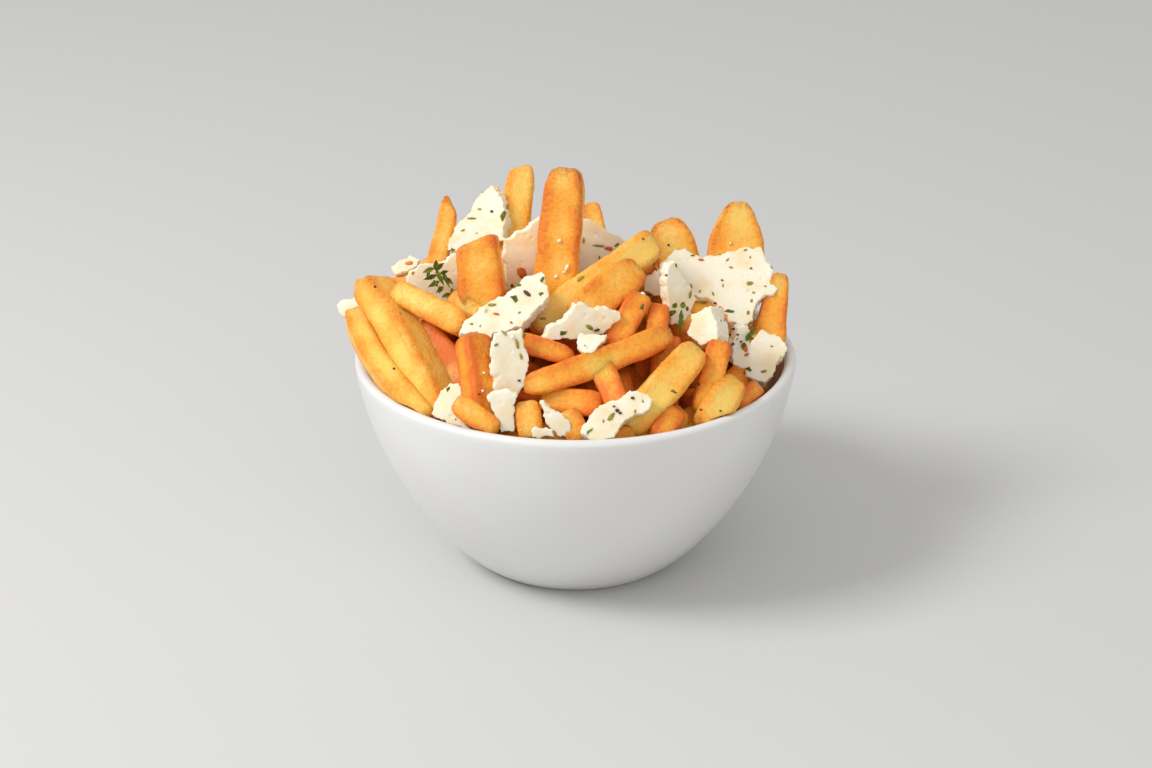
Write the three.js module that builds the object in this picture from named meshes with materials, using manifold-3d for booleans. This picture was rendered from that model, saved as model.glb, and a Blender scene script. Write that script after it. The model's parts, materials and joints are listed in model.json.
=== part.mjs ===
// A small white bowl heaped with thick-cut french fries, with slabs of white cheese and parsley on top.
// Millimetres, +z up. The bowl stands on z = 0 with its axis on the z axis, and -y is the front.
import * as THREE from "three";
import { mergeVertices } from "three/addons/utils/BufferGeometryUtils.js";
import Module from "manifold-3d";

const wasm = await Module();
wasm.setup();

// Bowl
const FOOT_RADIUS = 31;
const RIM_RADIUS = 65;
const BOWL_HEIGHT = 64;
const WALL = 3.3;
const FLOOR = 5;
const FOOT_EDGE = 0.5;
const BELLY_LOW = [36.5, 3.5]; // radius and height of the outer curve's two handles
const BELLY_HIGH = [60.3, 27.5];
const PROFILE_STEPS = 8;
const LIP_STEPS = 4;
const BOWL_SEGMENTS = 42;

// Heap
const GAP = 0.3; // left between pieces that touch
const FILL_HEIGHT = 60; // the packed middle of the heap meets the wall at this height
const CORE_RADIUS = 60;
const CORE_RISE = 22;
const CORE_DROP = 5; // how far the packed middle stays under the fries that lie on it
const CORE_STEPS = 5;
const CORE_SEGMENTS = 26;
const BURIED = 9; // a fry goes on this far into the heap past where it is last seen

// Fry form
const FRY_END = 2.4; // length over which an end rounds off
const CHAMFER = 0.6; // where the flat of a side ends, as a share of half the width

// Cheese form
const EDGE = 0.6; // how far a slab's broken edge is bevelled
const FLAKE = [1.7, 1.1, 0.9];
const FLAKE_TOP = 0.35; // how far a flake stands out of the slab

// Parsley form
const LEAF_THICK = 0.7;
const LEAF_WAVE = 0.35;
const LEAF_LIFT = 0.7; // the leaf's mean height over the face it lies on

const BOWL_WHITE = 0xf1f0ec;
const FRY_GOLD = 0xe9ab4e;
const CHEESE_WHITE = 0xfbf3df;
const PARSLEY_GREEN = 0x3f6b22;

// Repeatable draws: each call gives the next number from 0 to 1.
function seeded(seed) {
  let state = seed;
  return () => {
    state = (state * 1664525 + 1013904223) % 4294967296;
    return state / 4294967296;
  };
}

function toSolid(geometry) {
  const bare = geometry.clone();
  bare.deleteAttribute("normal");
  bare.deleteAttribute("uv");
  const merged = mergeVertices(bare, 1e-4);
  const index = merged.index.array;
  const kept = [];
  for (let i = 0; i < index.length; i += 3) {
    const [a, b, c] = [index[i], index[i + 1], index[i + 2]];
    if (a !== b && b !== c && c !== a) kept.push(a, b, c);
  }
  const vertProperties = merged.attributes.position.array;
  const triVerts = new Uint32Array(kept);
  return new wasm.Manifold(new wasm.Mesh({ numProp: 3, vertProperties, triVerts }));
}

function toGeometry(solid) {
  const mesh = solid.getMesh();
  const geometry = new THREE.BufferGeometry();
  geometry.setAttribute("position", new THREE.BufferAttribute(mesh.vertProperties, 3));
  geometry.setIndex(new THREE.BufferAttribute(mesh.triVerts, 1));
  geometry.computeVertexNormals();
  return geometry;
}

// The largest body of a solid, so that loose scraps go and sealed hollows are filled.
function mainBody(solid) {
  return solid.decompose().reduce((a, b) => (b.volume() > a.volume() ? b : a));
}

function turned(profile, segments) {
  const geometry = new THREE.LatheGeometry(profile, segments);
  geometry.rotateX(Math.PI / 2);
  return geometry;
}

const bellyCurve = new THREE.CubicBezierCurve(
  new THREE.Vector2(FOOT_RADIUS, FOOT_EDGE),
  new THREE.Vector2(...BELLY_LOW),
  new THREE.Vector2(...BELLY_HIGH),
  new THREE.Vector2(RIM_RADIUS, BOWL_HEIGHT - WALL / 2),
);

// The points of the bowl's wall moved inwards from the outer curve, from the foot to the rim.
function wallPoints(inset) {
  const points = [];
  for (let i = 0; i <= PROFILE_STEPS; i += 1) {
    const along = bellyCurve.getTangent(i / PROFILE_STEPS);
    const point = bellyCurve.getPoint(i / PROFILE_STEPS);
    points.push(point.add(new THREE.Vector2(-along.y, along.x).multiplyScalar(inset)));
  }
  return points;
}

// Half of the bowl's section; grow thickens it all round, for the room that the heap leaves.
function bowlProfile(grow) {
  const outer = wallPoints(-grow);
  const inner = wallPoints(WALL + grow).filter((p) => p.y > FLOOR + grow + 0.5).reverse();
  const lipRadius = WALL / 2 + grow;
  const lip = [];
  for (let i = 1; i < LIP_STEPS; i += 1) {
    const turn = (Math.PI * i) / LIP_STEPS;
    const radius = RIM_RADIUS - WALL / 2 + lipRadius * Math.cos(turn);
    lip.push(new THREE.Vector2(radius, BOWL_HEIGHT - WALL / 2 + lipRadius * Math.sin(turn)));
  }
  const base = new THREE.Vector2(0, -grow);
  const baseEdge = new THREE.Vector2(FOOT_RADIUS - FOOT_EDGE, -grow);
  const floorEdge = new THREE.Vector2(inner[inner.length - 1].x - 4, FLOOR + grow);
  const floor = new THREE.Vector2(0, FLOOR + grow);
  return [base, baseEdge, ...outer, ...lip, ...inner, floorEdge, floor];
}

function coreHeight(radius) {
  return FILL_HEIGHT + CORE_RISE * (1 - (radius / CORE_RADIUS) ** 2);
}

// The packed middle of the heap, which fills the bowl and rises in a dome over it.
function coreGeometry() {
  const profile = [new THREE.Vector2(0, FLOOR + 1)];
  const wall = wallPoints(WALL + 1).filter((p) => p.y > FLOOR + 2 && p.y < FILL_HEIGHT - CORE_DROP - 4);
  profile.push(new THREE.Vector2(wall[0].x - 3, FLOOR + 1), ...wall);
  for (let i = CORE_STEPS; i >= 0; i -= 1) {
    const radius = ((CORE_RADIUS - 1) * i) / CORE_STEPS;
    profile.push(new THREE.Vector2(radius, coreHeight(radius) - CORE_DROP));
  }
  return turned(profile, CORE_SEGMENTS);
}

// One fry: an eight-sided bar from foot to tip, bent, tapered and rounded off at its ends.
// facing is the way its broad side looks, roll turns it about its length, taper is the tip's width
// as a share, end is how much of the width is left at the very tip, slant shears the tip.
function fryGeometry(fry) {
  const { tip, foot, wide, thick = wide * 0.92, facing = [0, -1, 0.45] } = fry;
  const { roll = 0, bend = 0, side = 0, taper = 0.95, end = 0.68, slant = 0, bury = BURIED } = fry;
  const top = new THREE.Vector3(...tip);
  const along = top.clone().sub(new THREE.Vector3(...foot));
  const seen = along.length();
  along.normalize();
  const length = seen + bury;
  const bottom = top.clone().addScaledVector(along, -length);
  const across = along.clone().cross(new THREE.Vector3(...facing)).normalize();
  across.applyAxisAngle(along, THREE.MathUtils.degToRad(roll));
  const out = across.clone().cross(along);
  const middle = bend || side ? [0.5] : [];
  const places = [0, FRY_END / length, ...middle, 1 - FRY_END / length, 1];
  const last = places.length - 1;
  const geometry = new THREE.CylinderGeometry(1, 1, 1, 8, last);
  const position = geometry.attributes.position;
  const squared = (v) => Math.sign(v) * (Math.abs(v) > 0.7 ? 1 : CHAMFER);
  for (let i = 0; i < position.count; i += 1) {
    const station = Math.round((position.getY(i) + 0.5) * last);
    const at = places[station];
    const onAxis = Math.hypot(position.getX(i), position.getZ(i)) < 0.5;
    const turn = Math.atan2(position.getZ(i), position.getX(i)) + Math.PI / 8;
    const share = station % last === 0 ? end : 1;
    const size = onAxis ? 0 : share * (1 - (1 - taper) * at);
    const x = (squared(Math.cos(turn)) * size * wide) / 2;
    const y = (squared(Math.sin(turn)) * size * thick) / 2;
    const arch = 4 * at * (1 - at);
    const shear = at > 0.8 ? (slant * x * 2) / wide : 0;
    const point = bottom.clone().addScaledVector(along, at * length + shear);
    point.addScaledVector(across, x + side * arch).addScaledVector(out, y + bend * arch);
    position.setXYZ(i, point.x, point.y, point.z);
  }
  return geometry;
}

// The fries that show from the front, each from its tip to where it is last seen.
const FRONT_FRIES = [
  { tip: [-60, -2, 86], foot: [-38.5, -36, 65], wide: 12, thick: 10.5, roll: 56, bend: 1, end: 0.7, bury: 4 },
  { tip: [-65, 0, 76], foot: [-42.5, -40.5, 63.5], wide: 7.5, roll: 25, bend: 2, side: -3, bury: 2 },
  { tip: [-64.5, 5, 81], foot: [-47, -1, 83.5], wide: 7.5, bury: 1 },
  { tip: [-52, -9, 86.5], foot: [-32, -24, 82], wide: 8, bend: 1.5, end: 0.6, bury: 2 },
  { tip: [-45.5, -15, 76.5], foot: [-30.5, -30.5, 65], wide: 12, thick: 9, bury: 5 },
  { tip: [-36, -12, 85.5], foot: [-20, -22, 78.5], wide: 7, bury: 3 },
  { tip: [-28.3, -6, 101], foot: [-25.5, -16, 72.5], wide: 15, thick: 12, taper: 0.84, end: 0.93, slant: 1.5, bury: 4 },
  { tip: [-37, 24, 101.5], foot: [-41, 14, 85.5], wide: 7, taper: 0.8, end: 0.5, slant: -2, bury: 13 },
  { tip: [-16, 26, 112], foot: [-20.5, 10, 82], wide: 10, taper: 0.85, end: 0.6, slant: 1 },
  { tip: [-2.5, 4, 119.3], foot: [-7.5, -9, 77], wide: 14.5, thick: 13, taper: 0.82, end: 0.7, bury: 2 },
  { tip: [4.5, 30, 99], foot: [7.5, 21, 84], wide: 6.5 },
  { tip: [23, 0, 98], foot: [-10.5, -18, 81], wide: 10.5, taper: 0.95, end: 0.6, bend: 1, bury: 3 },
  { tip: [18, -11, 94], foot: [1.5, -24, 85], wide: 11.5, thick: 9, end: 0.7, bury: 2 },
  { tip: [26.5, 22, 96.5], foot: [32, 17, 82], wide: 14, thick: 12, taper: 0.9, bend: 1, end: 0.6 },
  { tip: [48.5, 23, 102], foot: [47.5, 16, 83.5], wide: 23, thick: 10, taper: 0.4, end: 0.6, bury: 2 },
  { tip: [60.5, 8, 85], foot: [57, -1, 69.5], wide: 11, thick: 8, taper: 0.5, end: 0.6, bury: 4 },
  { tip: [19, -18, 88.5], foot: [11.5, -28, 79], wide: 8, end: 0.7, bury: 3 },
  { tip: [24, -18, 85.5], foot: [22.5, -27, 77], wide: 7, bury: 3 },
  { tip: [27, -31, 82.5], foot: [-15, -45, 71.5], wide: 8, bend: 1, side: 1, bury: 0, end: 0.55 },
  { tip: [-0.5, -38, 77.8], foot: [-18, -36, 82.5], wide: 6.8, taper: 0.8, end: 0.45, bury: 0 },
  { tip: [-29, -35, 83.5], foot: [-26.5, -46, 68.5], wide: 9.5, roll: 35, bury: 10 },
  { tip: [5, -35, 79], foot: [12, -49, 67.5], wide: 7.5, bury: 3 },
  { tip: [34.5, -33, 78.5], foot: [14.5, -48, 61.5], wide: 11, thick: 10, taper: 0.9, bury: 2, bend: 1 },
  { tip: [41, -29, 79], foot: [36.5, -40, 65.5], wide: 7.5, bury: 4 },
  { tip: [45.5, -35, 69.5], foot: [37, -46, 61.5], wide: 10.5, taper: 0.8, end: 0.6, bury: 2 },
  { tip: [52, -28, 64.5], foot: [46, -36, 62], wide: 6, bury: 2 },
  { tip: [28.5, -45, 64.5], foot: [24, -51, 61], wide: 7, bury: 3 },
  { tip: [26.5, -22, 77], foot: [25, -37, 64], wide: 9, bury: 3 },
  { tip: [-33.5, -49.5, 69.5], foot: [-23, -53.5, 63.5], wide: 7, bury: 2 },
  { tip: [-13.5, -49.5, 69.5], foot: [-12.5, -54, 62], wide: 7.5, bury: 5, end: 0.75 },
  { tip: [-2.5, -51, 67.5], foot: [0.5, -54, 61], wide: 7.5, bury: 4, end: 0.75 },
  { tip: [-10, -43, 67.5], foot: [6, -46, 67], wide: 8, bury: 2 },
  { tip: [13, -32, 70], foot: [15, -42, 62], wide: 6, bury: 2 },
];

// A fry that lies across the core: its middle at a turn and a radius, its ends a reach away along lie.
function lyingFry(turn, radius, lie, reach, lift, wide) {
  const [tip, foot] = [1, -1].map((way) => {
    const x = radius * Math.cos(turn) + way * reach * Math.cos(lie);
    const y = radius * Math.sin(turn) + way * reach * Math.sin(lie);
    return [x, y, coreHeight(Math.min(Math.hypot(x, y), 54)) + lift];
  });
  return { tip, foot, wide, facing: [0, 0, 1], bury: 0 };
}

// Fries packed on the core, turned anyhow, except at the front, where the others lie.
function packedFries() {
  const draw = seeded(41);
  const fries = [];
  for (let i = 0; i < 15; i += 1) {
    const turn = 2.4 * i + 0.5 * draw();
    const radius = 42 * Math.sqrt((i + 0.7) / 15);
    const lie = turn + Math.PI * (0.3 + 0.4 * draw());
    const fry = lyingFry(turn, radius, lie, 17 + 7 * draw(), 1.5 * draw(), 7.5 + 4 * draw());
    if (radius * Math.sin(turn) > -8) fries.push(fry);
  }
  return fries;
}

// Fries that lie along the wall at the back, from side to side.
function wallFries() {
  const draw = seeded(3);
  const fries = [];
  for (let i = 0; i < 7; i += 1) {
    const turn = THREE.MathUtils.degToRad(12 + 26 * i + 8 * draw());
    const lie = turn + Math.PI * (0.42 + 0.16 * draw());
    fries.push(lyingFry(turn, 49, lie, 15 + 5 * draw(), 1 + 2 * draw(), 8 + 3 * draw()));
  }
  return fries;
}

// Fries that lie outwards over the rim at the back, from side to side; some lie lower, under a slab.
const UNDER_SLABS = { 1: 6, 2: 1.5, 3: 3.5, 8: 3 };

function leaningFries() {
  const draw = seeded(7);
  const fries = [];
  for (let i = 0; i < 9; i += 1) {
    const turn = THREE.MathUtils.degToRad(20 + 16.5 * i + 6 * draw());
    const twist = turn + (draw() - 0.5) * 1.4;
    const reach = 55 + 8 * draw();
    const drop = UNDER_SLABS[i] ?? 0;
    const tip = [reach * Math.cos(turn), reach * Math.sin(turn), 71 - drop + 4 * draw()];
    const foot = [28 * Math.cos(twist), 28 * Math.sin(twist), 75 - drop + 6 * draw()];
    const wide = 8 + 4 * draw();
    const roll = 60 * draw();
    const end = 0.5 + 0.3 * draw();
    const taper = 0.75 + 0.25 * draw();
    fries.push({ tip, foot, wide, roll, end, taper, facing: [0, 0, 1], bury: 4 });
  }
  return fries;
}

// Fries that stick up out of the back half of the heap.
function standingFries() {
  const draw = seeded(19);
  const fries = [];
  for (let i = 0; i < 6; i += 1) {
    const turn = THREE.MathUtils.degToRad(28 + 22 * i + 8 * draw());
    const radius = 27 + 12 * (i % 2) + 4 * draw();
    const inner = radius * (0.3 + 0.25 * draw());
    const tip = [radius * Math.cos(turn), radius * Math.sin(turn), 84 + 3 * draw()];
    const foot = [inner * Math.cos(turn + 0.4), inner * Math.sin(turn + 0.4), 72];
    const wide = 8 + 4 * draw();
    const roll = 90 * draw();
    fries.push({ tip, foot, wide, roll, taper: 0.85, facing: [Math.cos(turn), Math.sin(turn), 0.3] });
  }
  return fries;
}

// Slabs of cheese: at is the middle of the broad face, which looks towards the front turned by heading
// and tipped up by tilt, in degrees; outline runs across and up that face.
const CHEESE = {
  cheese_top_left: {
    at: [-21, -28, 87.5], heading: 0, tilt: 58, thick: 4.5, flakes: 3,
    outline: [
      [-12, -7.5], [-10.5, -3], [-3, 4], [4, 8.5], [7, 12.5], [11.5, 14.5], [12.5, 10], [13.5, 6],
      [6, -5], [2, -6.5], [-2, -7], [-4.5, -11.5], [-6.5, -6.5],
    ],
  },
  cheese_hanging_sheet: {
    at: [-18, -45, 79.5], heading: 10, tilt: 15, thick: 2.6, flakes: 2,
    outline: [[-4, 8], [3.5, 9], [4, 4], [5, -0.5], [4, -4], [2, -9], [-5, -8], [-5.5, -3], [-5.5, 3]],
  },
  cheese_front_shard: {
    at: [-20.5, -54, 68.3], heading: 0, tilt: 10, thick: 3, flakes: 0,
    outline: [[-4, 4], [-2.5, 5.5], [2, 6], [4.5, 4.5], [3, 2], [3.5, -5.5], [0, -6], [-1, -3], [-3, 1]],
  },
  cheese_folded: {
    at: [-1.5, -33, 85.5], heading: 15, tilt: 15, thick: 4, flakes: 2,
    outline: [[-8.5, -3], [2, 6], [5, 5.5], [7, 4], [15, 2.5], [15, 0], [10, -3], [2, -4], [-6, -4]],
  },
  cheese_lobe: {
    at: [4.5, -39.5, 83], heading: 0, tilt: 40, thick: 3, flakes: 0,
    outline: [[-3, 3], [5, 3], [2, -1], [-1, -3], [-3, -2.5], [-4, 0]],
  },
  cheese_left_rim: {
    at: [-35, -45, 67.3], heading: -20, tilt: 30, thick: 4.5, flakes: 0,
    outline: [[-1, 5.5], [1.5, 5.5], [6, 1.5], [9, -6.5], [4.5, -6.5], [-4.5, -4.5], [-5, -1]],
  },
  cheese_shred: {
    at: [-5.5, -55.5, 67], heading: 0, tilt: 15, thick: 2.4, flakes: 0,
    outline: [
      [-4.5, 5], [-3, 5.2], [-0.8, 2.6], [2.2, 1], [4.4, -3.2], [3.8, -5], [0.8, -5], [-1.2, -2.5],
      [-3.2, 0.5],
    ],
  },
  cheese_crumb_front: {
    at: [-8.5, -57, 63.5], heading: 0, tilt: 20, thick: 2, flakes: 0,
    outline: [[-3, 2], [2, 1], [3, -1.5], [-1.5, -2], [-3.5, -1.5]],
  },
  cheese_front_rim: {
    at: [11.5, -55, 67.5], heading: 5, tilt: 35, thick: 5, flakes: 3,
    outline: [
      [-10.5, -4], [-9.5, -2], [-6.5, 1.5], [-2.5, 4], [3.5, 7], [7, 6.5], [10.5, 4.5], [9.5, 2.5],
      [6, 0.5], [0.5, -3.5], [-1, -6], [-4, -6.5], [-8, -6.5],
    ],
  },
  cheese_right_leaning: {
    at: [30, -16, 88], heading: 35, tilt: 15, thick: 3.5, flakes: 2,
    outline: [[0, 10], [1.5, 6.5], [3.5, 2], [5.5, -2.5], [3, -6.5], [0, -8], [-4.5, -8], [-4.5, 0], [-3, 8.5]],
  },
  cheese_right_large: {
    at: [41, 2, 82.2], heading: 5, tilt: 50, thick: 4.2, flakes: 4,
    outline: [
      [-17, 6.5], [-15, 10], [-11, 14], [-7.5, 14.5], [-3, 11], [1, 11.5], [5, 12.5], [12.5, 13.5],
      [15, 14], [17, 8], [18.5, 0], [17.5, -2], [12.5, -4], [10.5, -8.5], [8.5, -11.5], [5.5, -12],
      [3, -10.5], [1.5, -6], [-6.5, -1.5],
    ],
  },
  cheese_right_block: {
    at: [36, -27, 83], heading: -30, tilt: 25, thick: 8, flakes: 0,
    outline: [[-4.5, 2.5], [1, 6], [3, 3], [5.5, -3.5], [0.5, -5.5], [-4.5, -3]],
  },
  cheese_right_rim: {
    at: [56, -14, 67.7], heading: 10, tilt: 45, thick: 6, flakes: 1,
    outline: [[-0.5, 9], [5, 5.5], [6, 2], [-2.5, -8], [-5, -7], [-7.5, -5.5], [-6, -1.5], [-5, 4]],
  },
  cheese_peppered: {
    at: [47.5, -22, 74], heading: 15, tilt: 10, thick: 4, flakes: 2,
    outline: [[-3, 1], [-1, 6], [2.5, 6], [3, 0.5], [3, -6], [-2.5, -5]],
  },
  cheese_back_peak: {
    at: [-29, 14, 99], heading: -25, tilt: 25, thick: 5, flakes: 2,
    outline: [
      [2.5, 11.5], [5.5, 9.5], [7.5, 5.5], [9, 0.5], [9.5, -4], [2.5, -8], [-8, -10], [-6, -1], [-4, 1],
      [-2, 5.5], [0.5, 9.5],
    ],
  },
  cheese_behind_left: {
    at: [-16, 2, 94], heading: 10, tilt: 15, thick: 4, flakes: 0,
    outline: [[-5.5, 4], [5, 9], [10, 10], [9, -10.5], [-4.5, -11], [-5, -2]],
  },
  cheese_behind_right: {
    at: [7, 10, 93], heading: 0, tilt: 25, thick: 5, flakes: 2,
    outline: [[-8, 9], [-4.5, 8], [-1, 7], [2.5, 4.5], [6, 2.5], [7.5, 1.5], [6.5, -6], [-8, -8.5]],
  },
  cheese_with_sprig: {
    at: [-42, -3, 88], heading: 5, tilt: 20, thick: 4, flakes: 0,
    outline: [[-6.5, 2], [7.5, 7], [9.5, 4], [10.5, -7], [2.5, -8.5], [-7.5, -2]],
  },
  cheese_left_back: {
    at: [-49.5, 2, 90.3], heading: 0, tilt: 40, thick: 3.5, flakes: 1,
    outline: [[-4.5, -1], [-2, 1], [1, 3], [4, 1.5], [3, -0.5], [0, -2.5], [-3, -3.5]],
  },
  cheese_over_rim: {
    at: [-66.5, 4, 76.3], heading: -20, tilt: 30, thick: 2.6, flakes: 0,
    outline: [[-4.5, -0.5], [-3.5, 1], [3.5, 4.5], [5, -0.5], [0, -3.5], [-3.5, -2]],
  },
  cheese_small_middle: {
    at: [21.5, -8, 88.5], heading: 0, tilt: 20, thick: 3, flakes: 0,
    outline: [[-2, 1], [1.5, 3.5], [3.5, 1], [2.5, -4], [-1.5, -2.5]],
  },
  cheese_rear_large: {
    at: [14, 41, 80], heading: 165, tilt: 52, thick: 4.5, flakes: 2,
    outline: [[-14, 4], [-11, 10], [-3, 9], [4, 12], [12, 11], [15, 2], [9, -8], [1, -11], [-4, -6], [-11, -5]],
  },
  cheese_rear_left: {
    at: [-30, 36, 82], heading: 218, tilt: 40, thick: 4, flakes: 1,
    outline: [[-9, -5], [-6, 4], [0, 9], [5, 7], [9, -1], [4, -7], [-3, -9]],
  },
  cheese_rear_right: {
    at: [40, 34, 76], heading: 128, tilt: 38, thick: 5, flakes: 1,
    outline: [[-7, -6], [-8, 1], [-2, 7], [5, 5], [8, -2], [3, -8]],
  },
  cheese_rear_shred: {
    at: [-8, 50, 71], heading: 188, tilt: 35, thick: 3, flakes: 0,
    outline: [[-9, -2], [-5, 3], [3, 4], [10, 1], [8, -3], [0, -3]],
  },
  cheese_side_left: {
    at: [-51, 22, 77], heading: 248, tilt: 45, thick: 4, flakes: 1,
    outline: [[-6, -5], [-7, 2], [-1, 7], [6, 4], [5, -4], [0, -7]],
  },
};

// Parsley leaves: thin and wavy, placed like the cheese.
const LEAVES = {
  parsley_sprig: {
    at: [-39.5, -6.5, 89], heading: 5, tilt: 20,
    outline: [
      [-2.5, 3.5], [-1, 6], [1, 4.5], [2, 3], [0.8, 1.5], [2.8, 0], [4, -2.5], [3.8, -5], [2.5, -5.5],
      [2, -3.5], [0.5, -4.5], [-0.5, -3], [-2.5, -3.5], [-3.5, -1], [-1.8, -0.5], [-3.8, 1.5],
    ],
  },
  parsley_long: {
    at: [30, -23, 84], heading: 10, tilt: 20,
    outline: [[-2.6, 4], [-0.5, 2.5], [0, 4], [1.6, 3.2], [1, 0], [0.2, -4.5], [-1.8, -5], [-0.8, -1], [-3, 2]],
  },
  parsley_rim: {
    at: [49, -21, 77], heading: 10, tilt: 30,
    outline: [[-2, -3], [0, 0], [2.2, 2.8], [3, 1.2], [1.4, -1.4], [-0.4, -3.6]],
  },
};

// The frame of a slab's or a leaf's broad face: x across it, y up it, z out of it.
function faceFrame({ at, heading, tilt }) {
  const turn = THREE.MathUtils.degToRad(heading);
  const lift = THREE.MathUtils.degToRad(tilt);
  const across = new THREE.Vector3(Math.cos(turn), Math.sin(turn), 0);
  const out = new THREE.Vector3(
    Math.sin(turn) * Math.cos(lift), -Math.cos(turn) * Math.cos(lift), Math.sin(lift),
  );
  const frame = new THREE.Matrix4().makeBasis(across, out.clone().cross(across), out);
  return frame.setPosition(...at);
}

function outlineShape(outline) {
  return new THREE.Shape(outline.map(([x, y]) => new THREE.Vector2(x, y)));
}

// A slab with bevelled edges, its broad face through the frame's middle.
function slabGeometry(slab) {
  const options = {
    depth: slab.thick - 2 * EDGE,
    bevelThickness: EDGE,
    bevelSize: EDGE,
    bevelOffset: -EDGE,
    bevelSegments: 1,
  };
  const geometry = new THREE.ExtrudeGeometry(outlineShape(slab.outline), options);
  geometry.translate(0, 0, EDGE - slab.thick);
  return geometry.applyMatrix4(faceFrame(slab));
}

// The room that a slab or a leaf takes up with the gap all round it, between two depths of its frame.
function roomGeometry(piece, low, high) {
  const options = { depth: high - low, bevelEnabled: true, bevelSize: GAP, bevelThickness: 0, bevelSegments: 0 };
  const geometry = new THREE.ExtrudeGeometry(outlineShape(piece.outline), options);
  geometry.translate(0, 0, low);
  return geometry.applyMatrix4(faceFrame(piece));
}

// Flakes of herb and pepper, half sunk into a slab's broad face at drawn places.
function flakeGeometries(slab, draw) {
  const flakes = [];
  for (let i = 0; i < slab.flakes; i += 1) {
    const corner = slab.outline[Math.floor(draw() * slab.outline.length)];
    const pull = 0.1 + 0.35 * draw();
    const flake = new THREE.BoxGeometry(...FLAKE);
    flake.rotateZ(Math.PI * draw());
    flake.translate(corner[0] * pull, corner[1] * pull, FLAKE_TOP - FLAKE[2] / 2);
    flakes.push(flake.applyMatrix4(faceFrame(slab)));
  }
  return flakes;
}

function leafGeometry(leaf) {
  const geometry = new THREE.ExtrudeGeometry(outlineShape(leaf.outline), { depth: LEAF_THICK, bevelEnabled: false });
  const position = geometry.attributes.position;
  for (let i = 0; i < position.count; i += 1) {
    const wave = LEAF_WAVE * Math.sin(1.3 * position.getX(i) + 0.9 * position.getY(i));
    position.setZ(i, position.getZ(i) + LEAF_LIFT + wave);
  }
  return geometry.applyMatrix4(faceFrame(leaf));
}

function material(color, roughness) {
  return new THREE.MeshStandardMaterial({ color, roughness, metalness: 0 });
}

function named(name, geometry, look) {
  const mesh = new THREE.Mesh(geometry, look);
  mesh.name = name;
  return mesh;
}

// Each slab loses what an earlier one already takes up, so that none of them cross.
function cheeseSolids(bowlRoom) {
  const draw = seeded(5);
  const solids = new Map();
  let taken = bowlRoom;
  for (const [name, slab] of Object.entries(CHEESE)) {
    let solid = toSolid(slabGeometry(slab));
    for (const flake of flakeGeometries(slab, draw)) solid = solid.add(toSolid(flake));
    solids.set(name, mainBody(solid.subtract(taken)));
    taken = taken.add(toSolid(roomGeometry(slab, -slab.thick - GAP, FLAKE_TOP + GAP)));
  }
  return { solids, taken };
}

function heapSolid(taken) {
  const fries = [...FRONT_FRIES, ...leaningFries(), ...standingFries(), ...wallFries(), ...packedFries()];
  let heap = toSolid(coreGeometry());
  for (const fry of fries) heap = heap.add(toSolid(fryGeometry(fry)));
  return mainBody(heap.subtract(taken));
}

const portion = new THREE.Group();
portion.add(named("bowl", turned(bowlProfile(0), BOWL_SEGMENTS), material(BOWL_WHITE, 0.3)));

const bowlRoom = toSolid(turned(bowlProfile(GAP), BOWL_SEGMENTS));
const cheese = cheeseSolids(bowlRoom);
for (const [name, solid] of cheese.solids) {
  portion.add(named(name, toGeometry(solid), material(CHEESE_WHITE, 0.7)));
}

let taken = cheese.taken;
for (const [name, leaf] of Object.entries(LEAVES)) {
  const solid = mainBody(toSolid(leafGeometry(leaf)).subtract(taken));
  portion.add(named(name, toGeometry(solid), material(PARSLEY_GREEN, 0.8)));
  taken = taken.add(toSolid(roomGeometry(leaf, 0, 2 * LEAF_LIFT + LEAF_THICK + GAP)));
}
portion.add(named("fries_heap", toGeometry(heapSolid(taken)), material(FRY_GOLD, 0.6)));

export default portion;
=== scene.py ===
"""A white bowl heaped with french fries, slabs of white cheese and parsley, dressed for rendering.

Sizes are millimetres, and become Blender's metres in the Parts class. The bowl stands on z = 0 with
its axis on the z axis, and -y is the front.
"""

import json
import logging
import math
from collections.abc import Iterable, Sequence
from dataclasses import dataclass, field, replace
from enum import Enum

import bpy
import numpy as np
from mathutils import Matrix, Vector
from mathutils.bvhtree import BVHTree

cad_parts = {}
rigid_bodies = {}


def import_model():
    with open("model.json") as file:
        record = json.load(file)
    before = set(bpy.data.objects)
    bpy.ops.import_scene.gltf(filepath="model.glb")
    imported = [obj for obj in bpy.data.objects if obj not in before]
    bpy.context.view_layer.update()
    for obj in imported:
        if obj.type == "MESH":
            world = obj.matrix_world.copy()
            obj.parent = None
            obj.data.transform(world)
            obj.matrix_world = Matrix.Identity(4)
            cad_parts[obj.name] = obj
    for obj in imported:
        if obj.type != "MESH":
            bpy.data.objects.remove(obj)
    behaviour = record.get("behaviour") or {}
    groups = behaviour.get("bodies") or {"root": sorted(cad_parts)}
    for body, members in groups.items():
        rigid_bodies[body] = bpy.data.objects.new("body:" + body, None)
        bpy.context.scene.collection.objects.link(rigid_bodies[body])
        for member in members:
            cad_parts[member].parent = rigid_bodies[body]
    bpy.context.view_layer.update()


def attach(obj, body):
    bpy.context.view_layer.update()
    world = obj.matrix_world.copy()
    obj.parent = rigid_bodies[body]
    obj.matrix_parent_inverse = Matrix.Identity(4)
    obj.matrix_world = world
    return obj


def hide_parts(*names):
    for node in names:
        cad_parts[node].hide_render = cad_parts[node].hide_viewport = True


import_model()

Colour = tuple[float, float, float, float]
Point = tuple[float, float, float]
Flat = tuple[float, float]
Socket = bpy.types.NodeSocket

MM = 0.001
ROOT = "root"
log = logging.getLogger("french_fries_portion")


# Repeatable draws


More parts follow.
